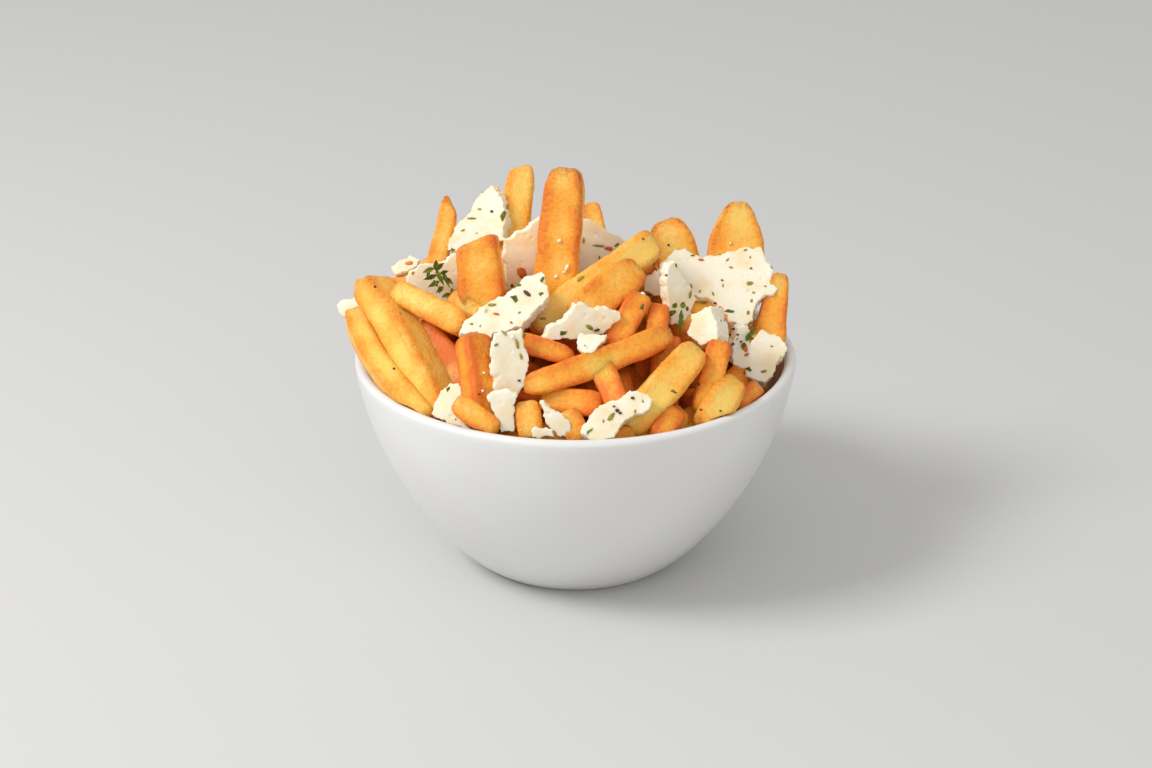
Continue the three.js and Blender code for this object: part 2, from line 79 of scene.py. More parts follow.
class Draws:
    """Numbers from 0 to 1 in an order that its seed settles."""

    def __init__(self, seed: int) -> None:
        """Starts the draws from a seed."""
        self.state = seed

    def next(self) -> float:
        """The next number from 0 to 1."""
        self.state = (self.state * 1664525 + 1013904223) % 4294967296
        return self.state / 4294967296

    def between(self, low: float, high: float) -> float:
        """The next number, from low to high."""
        return low + (high - low) * self.next()


# Meshes


def smooth_step(values: np.ndarray, low: float, high: float) -> np.ndarray:
    """Eases values from 0 at low to 1 at high.

    Args:
        values: Any numbers.
        low: Where the result leaves 0.
        high: Where it reaches 1.

    Returns:
        The eased values.
    """
    share = np.clip((values - low) / (high - low), 0, 1)
    return share * share * (3 - 2 * share)


def block_surface(cells: tuple[int, int, int]) -> tuple[np.ndarray, np.ndarray]:
    """The surface of a block divided into square cells.

    Args:
        cells: How many cells there are along x, y and z.

    Returns:
        The points, from -1 to 1 on each axis, and the quads, which face out.
    """
    quads = []
    for axis in range(3):
        u, v = (axis + 1) % 3, (axis + 2) % 3
        across, up = np.meshgrid(np.arange(cells[u]), np.arange(cells[v]), indexing="ij")
        for side in (0, cells[axis]):
            ring = [(0, 0), (1, 0), (1, 1), (0, 1)]
            quad = np.zeros((cells[u] * cells[v], 4, 3), int)
            for corner, (du, dv) in enumerate(ring if side else ring[::-1]):
                quad[:, corner, axis] = side
                quad[:, corner, u] = (across + du).ravel()
                quad[:, corner, v] = (up + dv).ravel()
            quads.append(quad)
    lattice = np.concatenate(quads).reshape(-1, 3)
    points, index = np.unique(lattice, axis=0, return_inverse=True)
    return points / (np.array(cells) / 2) - 1, index.reshape(-1, 4)


def lathe(profile: Sequence[Sequence[float]], segments: int) -> tuple[np.ndarray, list[list[int]]]:
    """A profile turned about the z axis.

    Args:
        profile: Radius and height, from the middle below round the outside to the middle above.
        segments: How many steps the turn has.

    Returns:
        Its points, ring after ring between its two poles, and its faces.
    """
    rings = np.array(profile[1:-1])
    turn = np.tile(np.linspace(0, 2 * math.pi, segments, endpoint=False), len(rings))
    radius = np.repeat(rings[:, 0], segments)
    height = np.repeat(rings[:, 1], segments)
    sides = np.stack([radius * np.cos(turn), radius * np.sin(turn), height], axis=1)
    points = np.concatenate([[[0, 0, profile[0][1]]], sides, [[0, 0, profile[-1][1]]]])
    top = 1 + (len(rings) - 1) * segments
    faces = []
    for i in range(segments):
        j = (i + 1) % segments
        faces.append([0, 1 + j, 1 + i])
        faces.append([top + i, top + j, len(points) - 1])
        for low in range(1, top, segments):
            faces.append([low + i, low + j, low + segments + j, low + segments + i])
    return points, faces


def prism_faces(count: int, levels: int) -> list[list[int]]:
    """The faces of a body made of rings, one above another.

    Args:
        count: How many points each ring has.
        levels: How many rings there are.

    Returns:
        Its two ends and its sides, which face out where the rings run anticlockwise.
    """
    faces = [list(range(count - 1, -1, -1)), list(range((levels - 1) * count, levels * count))]
    for low in range(0, (levels - 1) * count, count):
        for i in range(count):
            j = (i + 1) % count
            faces.append([low + i, low + j, low + count + j, low + count + i])
    return faces


@dataclass
class Parts:
    """Meshes in millimetres, gathered and then joined into one object in metres."""

    points: list[np.ndarray] = field(default_factory=list)
    faces: list[list[int]] = field(default_factory=list)
    values: dict[str, list[np.ndarray]] = field(default_factory=dict)
    count: int = 0

    def add(self, points: np.ndarray, faces: Iterable[Sequence[int]], **values: np.ndarray) -> None:
        """Adds one closed shape.

        Args:
            points: Its points, one row each.
            faces: Its faces, as indices into points.
            **values: Named numbers, one for each point or one for them all.
        """
        start = self.count
        self.points.append(np.asarray(points, float))
        self.faces.extend([[start + int(i) for i in face] for face in faces])
        for name, value in values.items():
            filled = np.broadcast_to(np.asarray(value, float), (len(points),))
            self.values.setdefault(name, []).append(filled)
        self.count += len(points)

    def build(self, name: str) -> bpy.types.Object:
        """Joins the shapes into one smooth-shaded object.

        Args:
            name: The object's name.

        Returns:
            The object, at the origin, linked to the scene.
        """
        mesh = bpy.data.meshes.new(name)
        mesh.from_pydata((np.concatenate(self.points) * MM).tolist(), [], self.faces)
        for label, chunks in self.values.items():
            attribute = mesh.attributes.new(label, "FLOAT", "POINT")
            attribute.data.foreach_set("value", np.concatenate(chunks).astype(np.float32))
        mesh.validate()
        mesh.shade_smooth()
        made = bpy.data.objects.new(name, mesh)
        bpy.context.scene.collection.objects.link(made)
        return made


def mesh_arrays(mesh: bpy.types.Mesh) -> tuple[np.ndarray, np.ndarray, list[list[int]]]:
    """A mesh as arrays.

    Args:
        mesh: The mesh, in metres.

    Returns:
        Its points in millimetres, their normals, and its faces.
    """
    points = np.empty(len(mesh.vertices) * 3)
    normals = np.empty(len(mesh.vertices) * 3)
    mesh.vertices.foreach_get("co", points)
    mesh.vertex_normals.foreach_get("vector", normals)
    faces = [list(polygon.vertices) for polygon in mesh.polygons]
    return points.reshape(-1, 3) / MM, normals.reshape(-1, 3), faces


def surface_of(pieces: Iterable[bpy.types.Object]) -> BVHTree:
    """One search tree over several pieces, in metres.

    Args:
        pieces: The pieces.

    Returns:
        The tree.
    """
    points, faces = [], []
    for made in pieces:
        start = len(points)
        points.extend(vertex.co.copy() for vertex in made.data.vertices)
        faces.extend([start + i for i in polygon.vertices] for polygon in made.data.polygons)
    return BVHTree.FromPolygons(points, faces)


def settle(made: bpy.types.Object) -> bpy.types.Object:
    """Turns an object's live modifiers into its plain mesh.

    Args:
        made: The object, which keeps its name and its place.

    Returns:
        The same object without modifiers.
    """
    bpy.context.view_layer.update()
    depsgraph = bpy.context.evaluated_depsgraph_get()
    finished = bpy.data.meshes.new_from_object(
        made.evaluated_get(depsgraph), preserve_all_data_layers=True, depsgraph=depsgraph
    )
    worn = made.data
    made.modifiers.clear()
    made.data = finished
    bpy.data.meshes.remove(worn)
    finished.name = made.name
    return made


def discard(made: bpy.types.Object) -> None:
    """Removes a helper object and its mesh.

    Args:
        made: The helper.
    """
    mesh = made.data
    bpy.data.objects.remove(made)
    bpy.data.meshes.remove(mesh)


def finish_piece(made: bpy.types.Object, nodes: Sequence[str] = ()) -> None:
    """Puts a finished piece on the root body, hides the CAD nodes that it replaces and logs how many faces it
    has.

    Args:
        made: The piece, final.
        nodes: The CAD nodes that it replaces.
    """
    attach(made, ROOT)
    if nodes:
        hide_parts(*nodes)
    log.info("%s: %d faces", made.name, len(made.data.polygons))


# Node trees


class Wiring:
    """Adds nodes to one tree and links them."""

    def __init__(self, tree: bpy.types.NodeTree) -> None:
        """Works on a tree that exists."""
        self.tree = tree

    def add(
        self, kind: str, inputs: dict[str | int, object] | None = None, **settings: object
    ) -> bpy.types.Node:
        """Adds a node.

        Args:
            kind: The node's type.
            inputs: Values for its sockets, or the sockets to link them to.
            **settings: Values for the node's own properties.

        Returns:
            The node.
        """
        node = self.tree.nodes.new(kind)
        for name, value in settings.items():
            setattr(node, name, value)
        self.feed(node, inputs or {})
        return node

    def feed(self, node: bpy.types.Node, inputs: dict[str | int, object]) -> None:
        """Sets a node's inputs, each to a value or to the socket that it is linked to.

        Args:
            node: The node.
            inputs: A value or a socket for each input that it sets.
        """
        for key, value in inputs.items():
            if isinstance(value, Socket):
                self.tree.links.new(value, node.inputs[key])
            else:
                node.inputs[key].default_value = value

    def maths(self, operation: str, *values: object) -> Socket:
        """The result of one sum.

        Args:
            operation: The Math node's operation.
            *values: Its numbers or the sockets that give them.

        Returns:
            The socket that gives the result.
        """
        inputs = dict(enumerate(values))
        return self.add("ShaderNodeMath", inputs, operation=operation).outputs[0]

    def remap(self, value: Socket, low: float | Socket, high: float | Socket) -> Socket:
        """Eases a value from 0 at low to 1 at high."""
        inputs = {"Value": value, "From Min": low, "From Max": high}
        return self.add("ShaderNodeMapRange", inputs, interpolation_type="SMOOTHSTEP").outputs[0]

    def between(self, share: Socket, low: float, high: float) -> Socket:
        """The number a share of the way from low to high."""
        return self.add("ShaderNodeMapRange", {"Value": share, "To Min": low, "To Max": high}).outputs[0]

    def blend(self, share: object, first: object, second: object) -> Socket:
        """A colour between two others."""
        node = self.add("ShaderNodeMix", {0: share, 6: first, 7: second}, data_type="RGBA")
        return node.outputs[2]

    def moved(self, place: Socket, shift: Socket) -> Socket:
        """The place moved far enough by shift that one piece's pattern isn't the next one's."""
        inputs = {0: shift, 1: (1.0, 1.7, -0.6), 2: place}
        return self.add("ShaderNodeVectorMath", inputs, operation="MULTIPLY_ADD").outputs[0]

    def noise(self, place: Socket, scale: object, detail: float = 2.0) -> Socket:
        """A noise from 0 to 1.

        Args:
            place: The point in space.
            scale: Waves for each metre.
            detail: How many finer layers it has.

        Returns:
            The socket that gives the value.
        """
        inputs = {"Vector": place, "Scale": scale, "Detail": detail}
        return self.add("ShaderNodeTexNoise", inputs).outputs[0]

    def cells(self, place: Socket, scale: object) -> Socket:
        """The distance to the nearest of some scattered points, in shares of a cell."""
        return self.add("ShaderNodeTexVoronoi", {"Vector": place, "Scale": scale}).outputs[0]

    def own(self, name: str) -> Socket:
        """A number kept at each point of the mesh, as a material reads it."""
        return self.add("ShaderNodeAttribute", attribute_name=name).outputs["Fac"]

    def kept(self, name: str) -> Socket:
        """A number kept at each point of the mesh, as a geometry tree reads it."""
        return self.add("GeometryNodeInputNamedAttribute", {"Name": name}, data_type="FLOAT").outputs[0]

    def pushed(self, geometry: Socket, height: Socket) -> Socket:
        """A surface moved along its normals by a height.

        Args:
            geometry: The surface.
            height: How far each point goes, in metres.

        Returns:
            The surface, moved.
        """
        normal = self.add("GeometryNodeInputNormal").outputs[0]
        offset = self.add("ShaderNodeVectorMath", {0: normal, "Scale": height}, operation="SCALE").outputs[0]
        return self.add("GeometryNodeSetPosition", {"Geometry": geometry, "Offset": offset}).outputs[0]

    def end(self, geometry: Socket, material: Socket, out: bpy.types.Node) -> None:
        """Ends a geometry tree: what it made becomes a real mesh and gets its material.

        Args:
            geometry: What the tree made.
            material: The material.
            out: The tree's output node.
        """
        real = self.add("GeometryNodeRealizeInstances", {"Geometry": geometry}).outputs[0]
        dressed = self.add("GeometryNodeSetMaterial", {"Geometry": real, "Material": material})
        self.feed(out, {"Geometry": dressed.outputs[0]})


def node_group(
    kind: str, name: str, inputs: dict[str, tuple[str, object]], outputs: dict[str, str]
) -> tuple[Wiring, bpy.types.Node, bpy.types.Node]:
    """Starts a node group with named sockets.

    Args:
        kind: The tree's type.
        name: The group's name.
        inputs: Each input's socket type and default.
        outputs: Each output's socket type.

    Returns:
        The wiring of the new tree, its input node and its output node.
    """
    tree = bpy.data.node_groups.new(name, kind)
    for label, (socket, default) in inputs.items():
        made = tree.interface.new_socket(label, in_out="INPUT", socket_type="NodeSocket" + socket)
        if default is not None:
            made.default_value = default
    for label, socket in outputs.items():
        tree.interface.new_socket(label, in_out="OUTPUT", socket_type="NodeSocket" + socket)
    wiring = Wiring(tree)
    return wiring, wiring.add("NodeGroupInput"), wiring.add("NodeGroupOutput")


def run_tree(made: bpy.types.Object, tree: bpy.types.NodeTree, values: dict[str, object]) -> bpy.types.Object:
    """Shapes an object by a geometry tree and keeps the result as its plain mesh.

    Args:
        made: The object.
        tree: The tree.
        values: The tree's named inputs.

    Returns:
        The same object.
    """
    modifier = made.modifiers.new(tree.name, "NODES")
    modifier.node_group = tree
    for label, value in values.items():
        modifier[tree.interface.items_tree[label].identifier] = value
    return settle(made)


def new_material(name: str) -> tuple[bpy.types.Material, Wiring, bpy.types.Node]:
    """Starts a material.

    Args:
        name: The material's name.

    Returns:
        The material, its wiring and its Principled BSDF.
    """
    material = bpy.data.materials.new(name)
    material.use_nodes = True
    shader = material.node_tree.nodes["Principled BSDF"]
    return material, Wiring(material.node_tree), shader


def mottle_group() -> bpy.types.NodeTree:
    """A soft-edged patchy mask, for fries, cheese, leaves and glaze alike.

    Returns:
        The group.
    """
    inputs = {
        "Place": ("Vector", None),
        "Shift": ("Float", 0.0),
        "Scale": ("Float", 100.0),
        "Low": ("Float", 0.4),
        "High": ("Float", 0.6),
    }
    wiring, given, out = node_group("ShaderNodeTree", "Mottle", inputs, {"Mask": "Float"})
    place = wiring.moved(given.outputs["Place"], given.outputs["Shift"])
    value = wiring.noise(place, given.outputs["Scale"])
    wiring.feed(out, {"Mask": wiring.remap(value, given.outputs["Low"], given.outputs["High"])})
    return wiring.tree


def grain_group() -> bpy.types.NodeTree:
    """A fine height of blisters over grain, for a surface too fine to model.

    Returns:
        The group.
    """
    inputs = {
        "Place": ("Vector", None),
        "Shift": ("Float", 0.0),
        "Grain Scale": ("Float", 1500.0),
        "Blister Scale": ("Float", 600.0),
        "Blister Share": ("Float", 0.5),
    }
    wiring, given, out = node_group("ShaderNodeTree", "Grain", inputs, {"Height": "Float"})
    place = wiring.moved(given.outputs["Place"], given.outputs["Shift"])
    grain = wiring.noise(place, given.outputs["Grain Scale"])
    blister = wiring.cells(place, given.outputs["Blister Scale"])
    raised = wiring.maths("MULTIPLY", wiring.maths("SUBTRACT", 0.6, blister), given.outputs["Blister Share"])
    wiring.feed(out, {"Height": wiring.maths("ADD", grain, raised)})
    return wiring.tree


@dataclass(frozen=True)
class Mottle:
    """Patches for each metre, and the noise at which their mask leaves 0 and reaches 1."""

    scale: float
    low: float
    high: float


@dataclass(frozen=True)
class Relief:
    """Grains and blisters for each metre, what the blisters add, and the bump's distance and strength."""

    grain: float
    blister: float
    share: float
    depth: float
    strength: float


@dataclass
class Effects:
    """The shader groups that the finishes share."""

    mottle: bpy.types.NodeTree
    grain: bpy.types.NodeTree

    @classmethod
    def build(cls) -> "Effects":
        """Builds each group once."""
        return cls(mottle_group(), grain_group())

    def mask(self, wiring: Wiring, place: Socket, shift: object, plan: Mottle) -> Socket:
        """Places the mottle group in a material.

        Args:
            wiring: The material's wiring.
            place: The Object coordinates.
            shift: A number or socket that sets pieces apart.
            plan: The patches.

        Returns:
            The socket that gives the mask.
        """
        values = {"Place": place, "Shift": shift, "Scale": plan.scale, "Low": plan.low, "High": plan.high}
        return wiring.add("ShaderNodeGroup", values, node_tree=self.mottle).outputs["Mask"]

    def relief(
        self, wiring: Wiring, shader: bpy.types.Node, place: Socket, shift: object, plan: Relief
    ) -> None:
        """Gives a shader a fine bump from the grain group.

        Args:
            wiring: The material's wiring.
            shader: The Principled BSDF.
            place: The Object coordinates.
            shift: A number or socket that sets pieces apart.
            plan: The bump.
        """
        values = {
            "Place": place,
            "Shift": shift,
            "Grain Scale": plan.grain,
            "Blister Scale": plan.blister,
            "Blister Share": plan.share,
        }
        height = wiring.add("ShaderNodeGroup", values, node_tree=self.grain).outputs["Height"]
        inputs = {"Height": height, "Distance": plan.depth, "Strength": plan.strength}
        wiring.feed(shader, {"Normal": wiring.add("ShaderNodeBump", inputs).outputs[0]})


# Finishes


@dataclass(frozen=True)
class GlazeFinish:
    """The bowl's white glaze."""

    white: Colour = (0.80, 0.80, 0.79, 1)
    thin: Colour = (0.76, 0.755, 0.74, 1)
    smooth: float = 0.26
    dull: float = 0.36
    coat: float = 0.25
    coat_roughness: float = 0.3
    cloud: Mottle = Mottle(22.0, 0.2, 0.8)

    def build(self, effects: Effects) -> bpy.types.Material:
        """Makes the material.

        Args:
            effects: The shared groups.

        Returns:
            The material.
        """
        material, wiring, shader = new_material("white glaze")
        place = wiring.add("ShaderNodeTexCoord").outputs["Object"]
        cloud = effects.mask(wiring, place, 0.0, self.cloud)
        inputs = {
            "Base Color": wiring.blend(cloud, self.white, self.thin),
            "Roughness": wiring.between(cloud, self.smooth, self.dull),
            "Coat Weight": self.coat,
            "Coat Roughness": self.coat_roughness,
        }
        wiring.feed(shader, inputs)
        return material


@dataclass(frozen=True)
class FryFinish:
    """Fried potato, from pale through gold to red, browned at its edges; on the layer deep under the heap its
    red and brown are painted shade.
    """

    pale: Colour = (0.92, 0.62, 0.14, 1)
    gold: Colour = (0.94, 0.41, 0.042, 1)
    red: Colour = (0.78, 0.175, 0.014, 1)
    brown: Colour = (0.42, 0.11, 0.015, 1)
    oily: float = 0.36
    dry: float = 0.55
    shine: float = 0.32
    subsurface: float = 0.4
    depth: float = 0.0035
    spread: Point = (1.0, 0.42, 0.12)
    patch: Mottle = Mottle(95.0, 0.34, 0.66)
    patch_tone: float = 0.4
    fleck: Mottle = Mottle(950.0, 0.4, 0.68)
    fleck_tone: float = 0.16
    skin: Relief = Relief(2000.0, 1000.0, 0.9, 0.0003, 0.5)

    def build(self, effects: Effects) -> bpy.types.Material:
        """Makes the material.

        Args:
            effects: The shared groups.

        Returns:
            The material.
        """
        material, wiring, shader = new_material("fried potato")
        place = wiring.add("ShaderNodeTexCoord").outputs["Object"]
        shift = wiring.own("shift")
        patch = effects.mask(wiring, place, shift, self.patch)
        fleck = effects.mask(wiring, place, shift, self.fleck)
        drift = wiring.maths("MULTIPLY_ADD", patch, 2 * self.patch_tone, -self.patch_tone)
        speck = wiring.maths("MULTIPLY_ADD", fleck, 2 * self.fleck_tone, -self.fleck_tone)
        tone = wiring.maths("ADD", wiring.maths("ADD", wiring.own("tone"), drift), speck)
        paleness = wiring.maths("MAXIMUM", wiring.maths("MULTIPLY", tone, -1.0), 0.0)
        redness = wiring.maths("MAXIMUM", tone, 0.0)
        colour = wiring.blend(wiring.maths("MINIMUM", paleness, 1.0), self.gold, self.pale)
        colour = wiring.blend(wiring.maths("MINIMUM", redness, 1.0), colour, self.red)
        # The brown mix is browned crust on most fries and painted shade on the core and the fries deep under
        # the heap.
        crisp_and_shade = wiring.maths("MULTIPLY", wiring.own("brown"), wiring.maths("MULTIPLY_ADD", fleck, 0.5, 0.5))
        inputs = {
            "Base Color": wiring.blend(wiring.maths("MINIMUM", crisp_and_shade, 1.0), colour, self.brown),
            "Roughness": wiring.between(patch, self.oily, self.dry),
            "Specular IOR Level": self.shine,
            "Subsurface Weight": self.subsurface,
            "Subsurface Radius": self.spread,
            "Subsurface Scale": self.depth,
        }
        wiring.feed(shader, inputs)
        effects.relief(wiring, shader, place, shift, self.skin)
        return material


@dataclass(frozen=True)
class CheeseFinish:
    """White crumbly cheese."""

    white: Colour = (0.95, 0.875, 0.71, 1)
    cream: Colour = (0.92, 0.76, 0.48, 1)
    roughness: float = 0.58
    roughness_swing: float = 0.08
    subsurface: float = 0.35
    depth: float = 0.002
    spread: Point = (1.0, 0.85, 0.6)
    patch: Mottle = Mottle(160.0, 0.38, 0.75)
    rough: Mottle = Mottle(700.0, 0.3, 0.7)
    crumb: Relief = Relief(1300.0, 700.0, 0.4, 0.0002, 0.35)

    def build(self, effects: Effects) -> bpy.types.Material:
        """Makes the material.

        Args:
            effects: The shared groups.

        Returns:
            The material.
        """
        material, wiring, shader = new_material("white cheese")
        place = wiring.add("ShaderNodeTexCoord").outputs["Object"]
        shift = wiring.own("shift")
        patch = effects.mask(wiring, place, shift, self.patch)
        rough = effects.mask(wiring, place, shift, self.rough)
        swing = self.roughness_swing
        inputs = {
            "Base Color": wiring.blend(patch, self.white, self.cream),
            "Roughness": wiring.between(rough, self.roughness - swing, self.roughness + swing),
            "Subsurface Weight": self.subsurface,
            "Subsurface Radius": self.spread,
            "Subsurface Scale": self.depth,
        }
        wiring.feed(shader, inputs)
        effects.relief(wiring, shader, place, shift, self.crumb)
        return material


@dataclass(frozen=True)
class FlakeFinish:
    """A herb, pepper or chili, each flake somewhere between two colours."""

    name: str
    first: Colour
    second: Colour
    roughness: float = 0.6
    shine: float = 0.25
    cloud: Mottle = Mottle(900.0, 0.35, 0.65)

    def build(self, effects: Effects) -> bpy.types.Material:
        """Makes the material.

        Args:
            effects: The shared groups.

        Returns:
            The material.
        """
        material, wiring, shader = new_material(self.name)
        place = wiring.add("ShaderNodeTexCoord").outputs["Object"]
        pick = wiring.own("pick")
        cloud = effects.mask(wiring, place, pick, self.cloud)
        share = wiring.maths("MULTIPLY_ADD", cloud, 0.4, wiring.maths("MULTIPLY", pick, 0.6))
        inputs = {
            "Base Color": wiring.blend(share, self.first, self.second),
            "Roughness": self.roughness,
            "Specular IOR Level": self.shine,
        }
        wiring.feed(shader, inputs)
        return material


class Seasoning(Enum):
    """What is strewn over the cheese and the fries, with its finish."""

    HERB = FlakeFinish("dried herb", (0.19, 0.16, 0.015, 1), (0.45, 0.38, 0.06, 1), 0.7)
    PARSLEY = FlakeFinish("parsley", (0.05, 0.08, 0.004, 1), (0.20, 0.24, 0.015, 1), 0.5)
    PEPPER = FlakeFinish("black pepper", (0.03, 0.018, 0.012, 1), (0.22, 0.09, 0.03, 1), 0.5)
    CHILI = FlakeFinish("chili", (0.62, 0.10, 0.02, 1), (0.75, 0.26, 0.06, 1), 0.4)
    CRUMB = CheeseFinish()


# View


@dataclass(frozen=True)
class View:
    """Where the picture was taken from, in metres and degrees."""

    distance: float = 0.816
    aim_height: float = 0.032
    aside: float = 0.00015
    pitch: float = 25.2
    aim_row: float = 447.8
    image: tuple[int, int] = (1152, 768)
    lens: float = 85.0
    sensor: float = 36.0

    @property
    def pixels(self) -> float:
        """The lens's focal length in the picture's pixels."""
        return self.lens / self.sensor * self.image[0]

    @property
    def tilt(self) -> float:
        """How far the camera looks down, in radians."""
        return math.radians(self.pitch) - math.atan((self.aim_row - self.image[1] / 2) / self.pixels)

    @property
    def place(self) -> Vector:
        """Where the camera stands.

        Returns:
            The place, in metres.
        """
        pitch = math.radians(self.pitch)
        height = self.aim_height + self.distance * math.sin(pitch)
        return Vector((self.aside, -self.distance * math.cos(pitch), height))

    def axes(self) -> tuple[Vector, Vector]:
        """The picture's right and its up."""
        return Vector((1, 0, 0)), Vector((0, math.sin(self.tilt), math.cos(self.tilt)))

    def ray(self, column: float, row: float) -> tuple[Vector, Vector]:
        """The line of sight through a place of the picture.

        Args:
            column: Pixels from the left.
            row: Pixels from the top.

        Returns:
            Where it starts and the way it goes.
        """
        right, above = self.axes()
        ahead = Vector((0, math.cos(self.tilt), -math.sin(self.tilt)))
        x = (column - self.image[0] / 2) / self.pixels
        y = (self.image[1] / 2 - row) / self.pixels
        return self.place, (ahead + right * x + above * y).normalized()


# Bowl


@dataclass
class Bowl:
    """The white bowl, turned about the z axis."""

    foot_radius: float = 31.0
    rim_radius: float = 65.0
    height: float = 64.0
    wall: float = 3.3
    floor: float = 5.0
    foot_edge: float = 0.5
    belly_low: Flat = (36.5, 3.5)
    belly_high: Flat = (60.3, 27.5)
    steps: int = 56
    lip_steps: int = 12
    segments: int = 160

    def outer_curve(self, shares: np.ndarray) -> tuple[np.ndarray, np.ndarray]:
        """The outer side of the wall's section.

        Args:
            shares: How far along it, from 0 at the foot to 1 at the rim.

        Returns:
            Its points as radius and height, and the unit direction at each.
        """
        corners = [
            np.array([self.foot_radius, self.foot_edge]),
            np.array(self.belly_low),
            np.array(self.belly_high),
            np.array([self.rim_radius, self.height - self.wall / 2]),
        ]
        t = shares[:, None]
        a, b, c, d = corners
        points = (1 - t) ** 3 * a + 3 * t * (1 - t) ** 2 * b + 3 * t**2 * (1 - t) * c + t**3 * d
        along = (1 - t) ** 2 * (b - a) + 2 * t * (1 - t) * (c - b) + t**2 * (d - c)
        return points, along / np.linalg.norm(along, axis=1)[:, None]

    def inset(self, depth: float) -> np.ndarray:
        """The wall's section moved in from the outer side by a depth."""
        points, along = self.outer_curve(np.linspace(0, 1, self.steps + 1))
        return points + depth * np.stack([-along[:, 1], along[:, 0]], axis=1)

    def inner_radius(self, heights: np.ndarray, gap: float) -> np.ndarray:
        """How far out the inside reaches at some heights, less a gap."""
        inner = self.inset(self.wall)
        return np.interp(heights, inner[:, 1], inner[:, 0]) - gap

    def profile(self) -> np.ndarray:
        """Half of the section, from the middle of the base round the lip to the middle of the floor.

        Returns:
            Its points as radius and height.
        """
        outer = self.inset(0)
        inner = self.inset(self.wall)
        inner = inner[inner[:, 1] > self.floor + 2.5][::-1]
        turn = np.linspace(0, math.pi, self.lip_steps + 1)[1:-1]
        lip_radius = self.wall / 2
        lip = np.stack(
            [
                self.rim_radius - lip_radius + lip_radius * np.cos(turn),
                self.height - lip_radius + lip_radius * np.sin(turn),
            ],
            axis=1,
        )
        sweep = np.linspace(0, math.pi / 2, 7)[1:]
        last = inner[-1]
        corner = np.stack(
            [last[0] - 5 * np.sin(sweep), self.floor + (last[1] - self.floor) * (1 - np.sin(sweep))], axis=1
        )
        base = [[0, 0], [self.foot_radius * 0.6, 0], [self.foot_radius - self.foot_edge, 0]]
        middle = [[last[0] * 0.5, self.floor], [0, self.floor]]
        return np.concatenate([base, outer, lip, inner, corner, middle])

    def build(self, material: bpy.types.Material) -> bpy.types.Object:
        """Makes the bowl's piece.

        Args:
            material: The glaze.

        Returns:
            The piece, which stands for the CAD's bowl.
        """
        parts = Parts()
        parts.add(*lathe(self.profile(), self.segments))
        bowl = parts.build("bowl_glazed")
        bowl.data.materials.append(material)
        finish_piece(bowl, ["bowl"])
        return bowl


# Fries


@dataclass(frozen=True)
class FryPlan:
    """One fry, from its foot to its tip, as the part's source has it.

    droop is how far the buried end hangs down, reach how far back from an end its rounding starts.
    tone runs from -1, pale, over 0, gold, to 1, red; the last field is how dark its edges and ends are, as
    browned crust, and on fries deep in shadow both are raised as painted shade.
    """

    tip: Point
    foot: Point
    wide: float
    thick: float = 0.0
    facing: Point = (0, -1, 0.45)
    roll: float = 0.0
    bend: float = 0.0
    side: float = 0.0
    taper: float = 0.95
    end: float = 0.62
    slant: float = 0.0
    bury: float = 9.0
    droop: float = 0.0
    reach: float = 4.8
    tone: float = 0.0
    browning_and_shade: float = 0.35


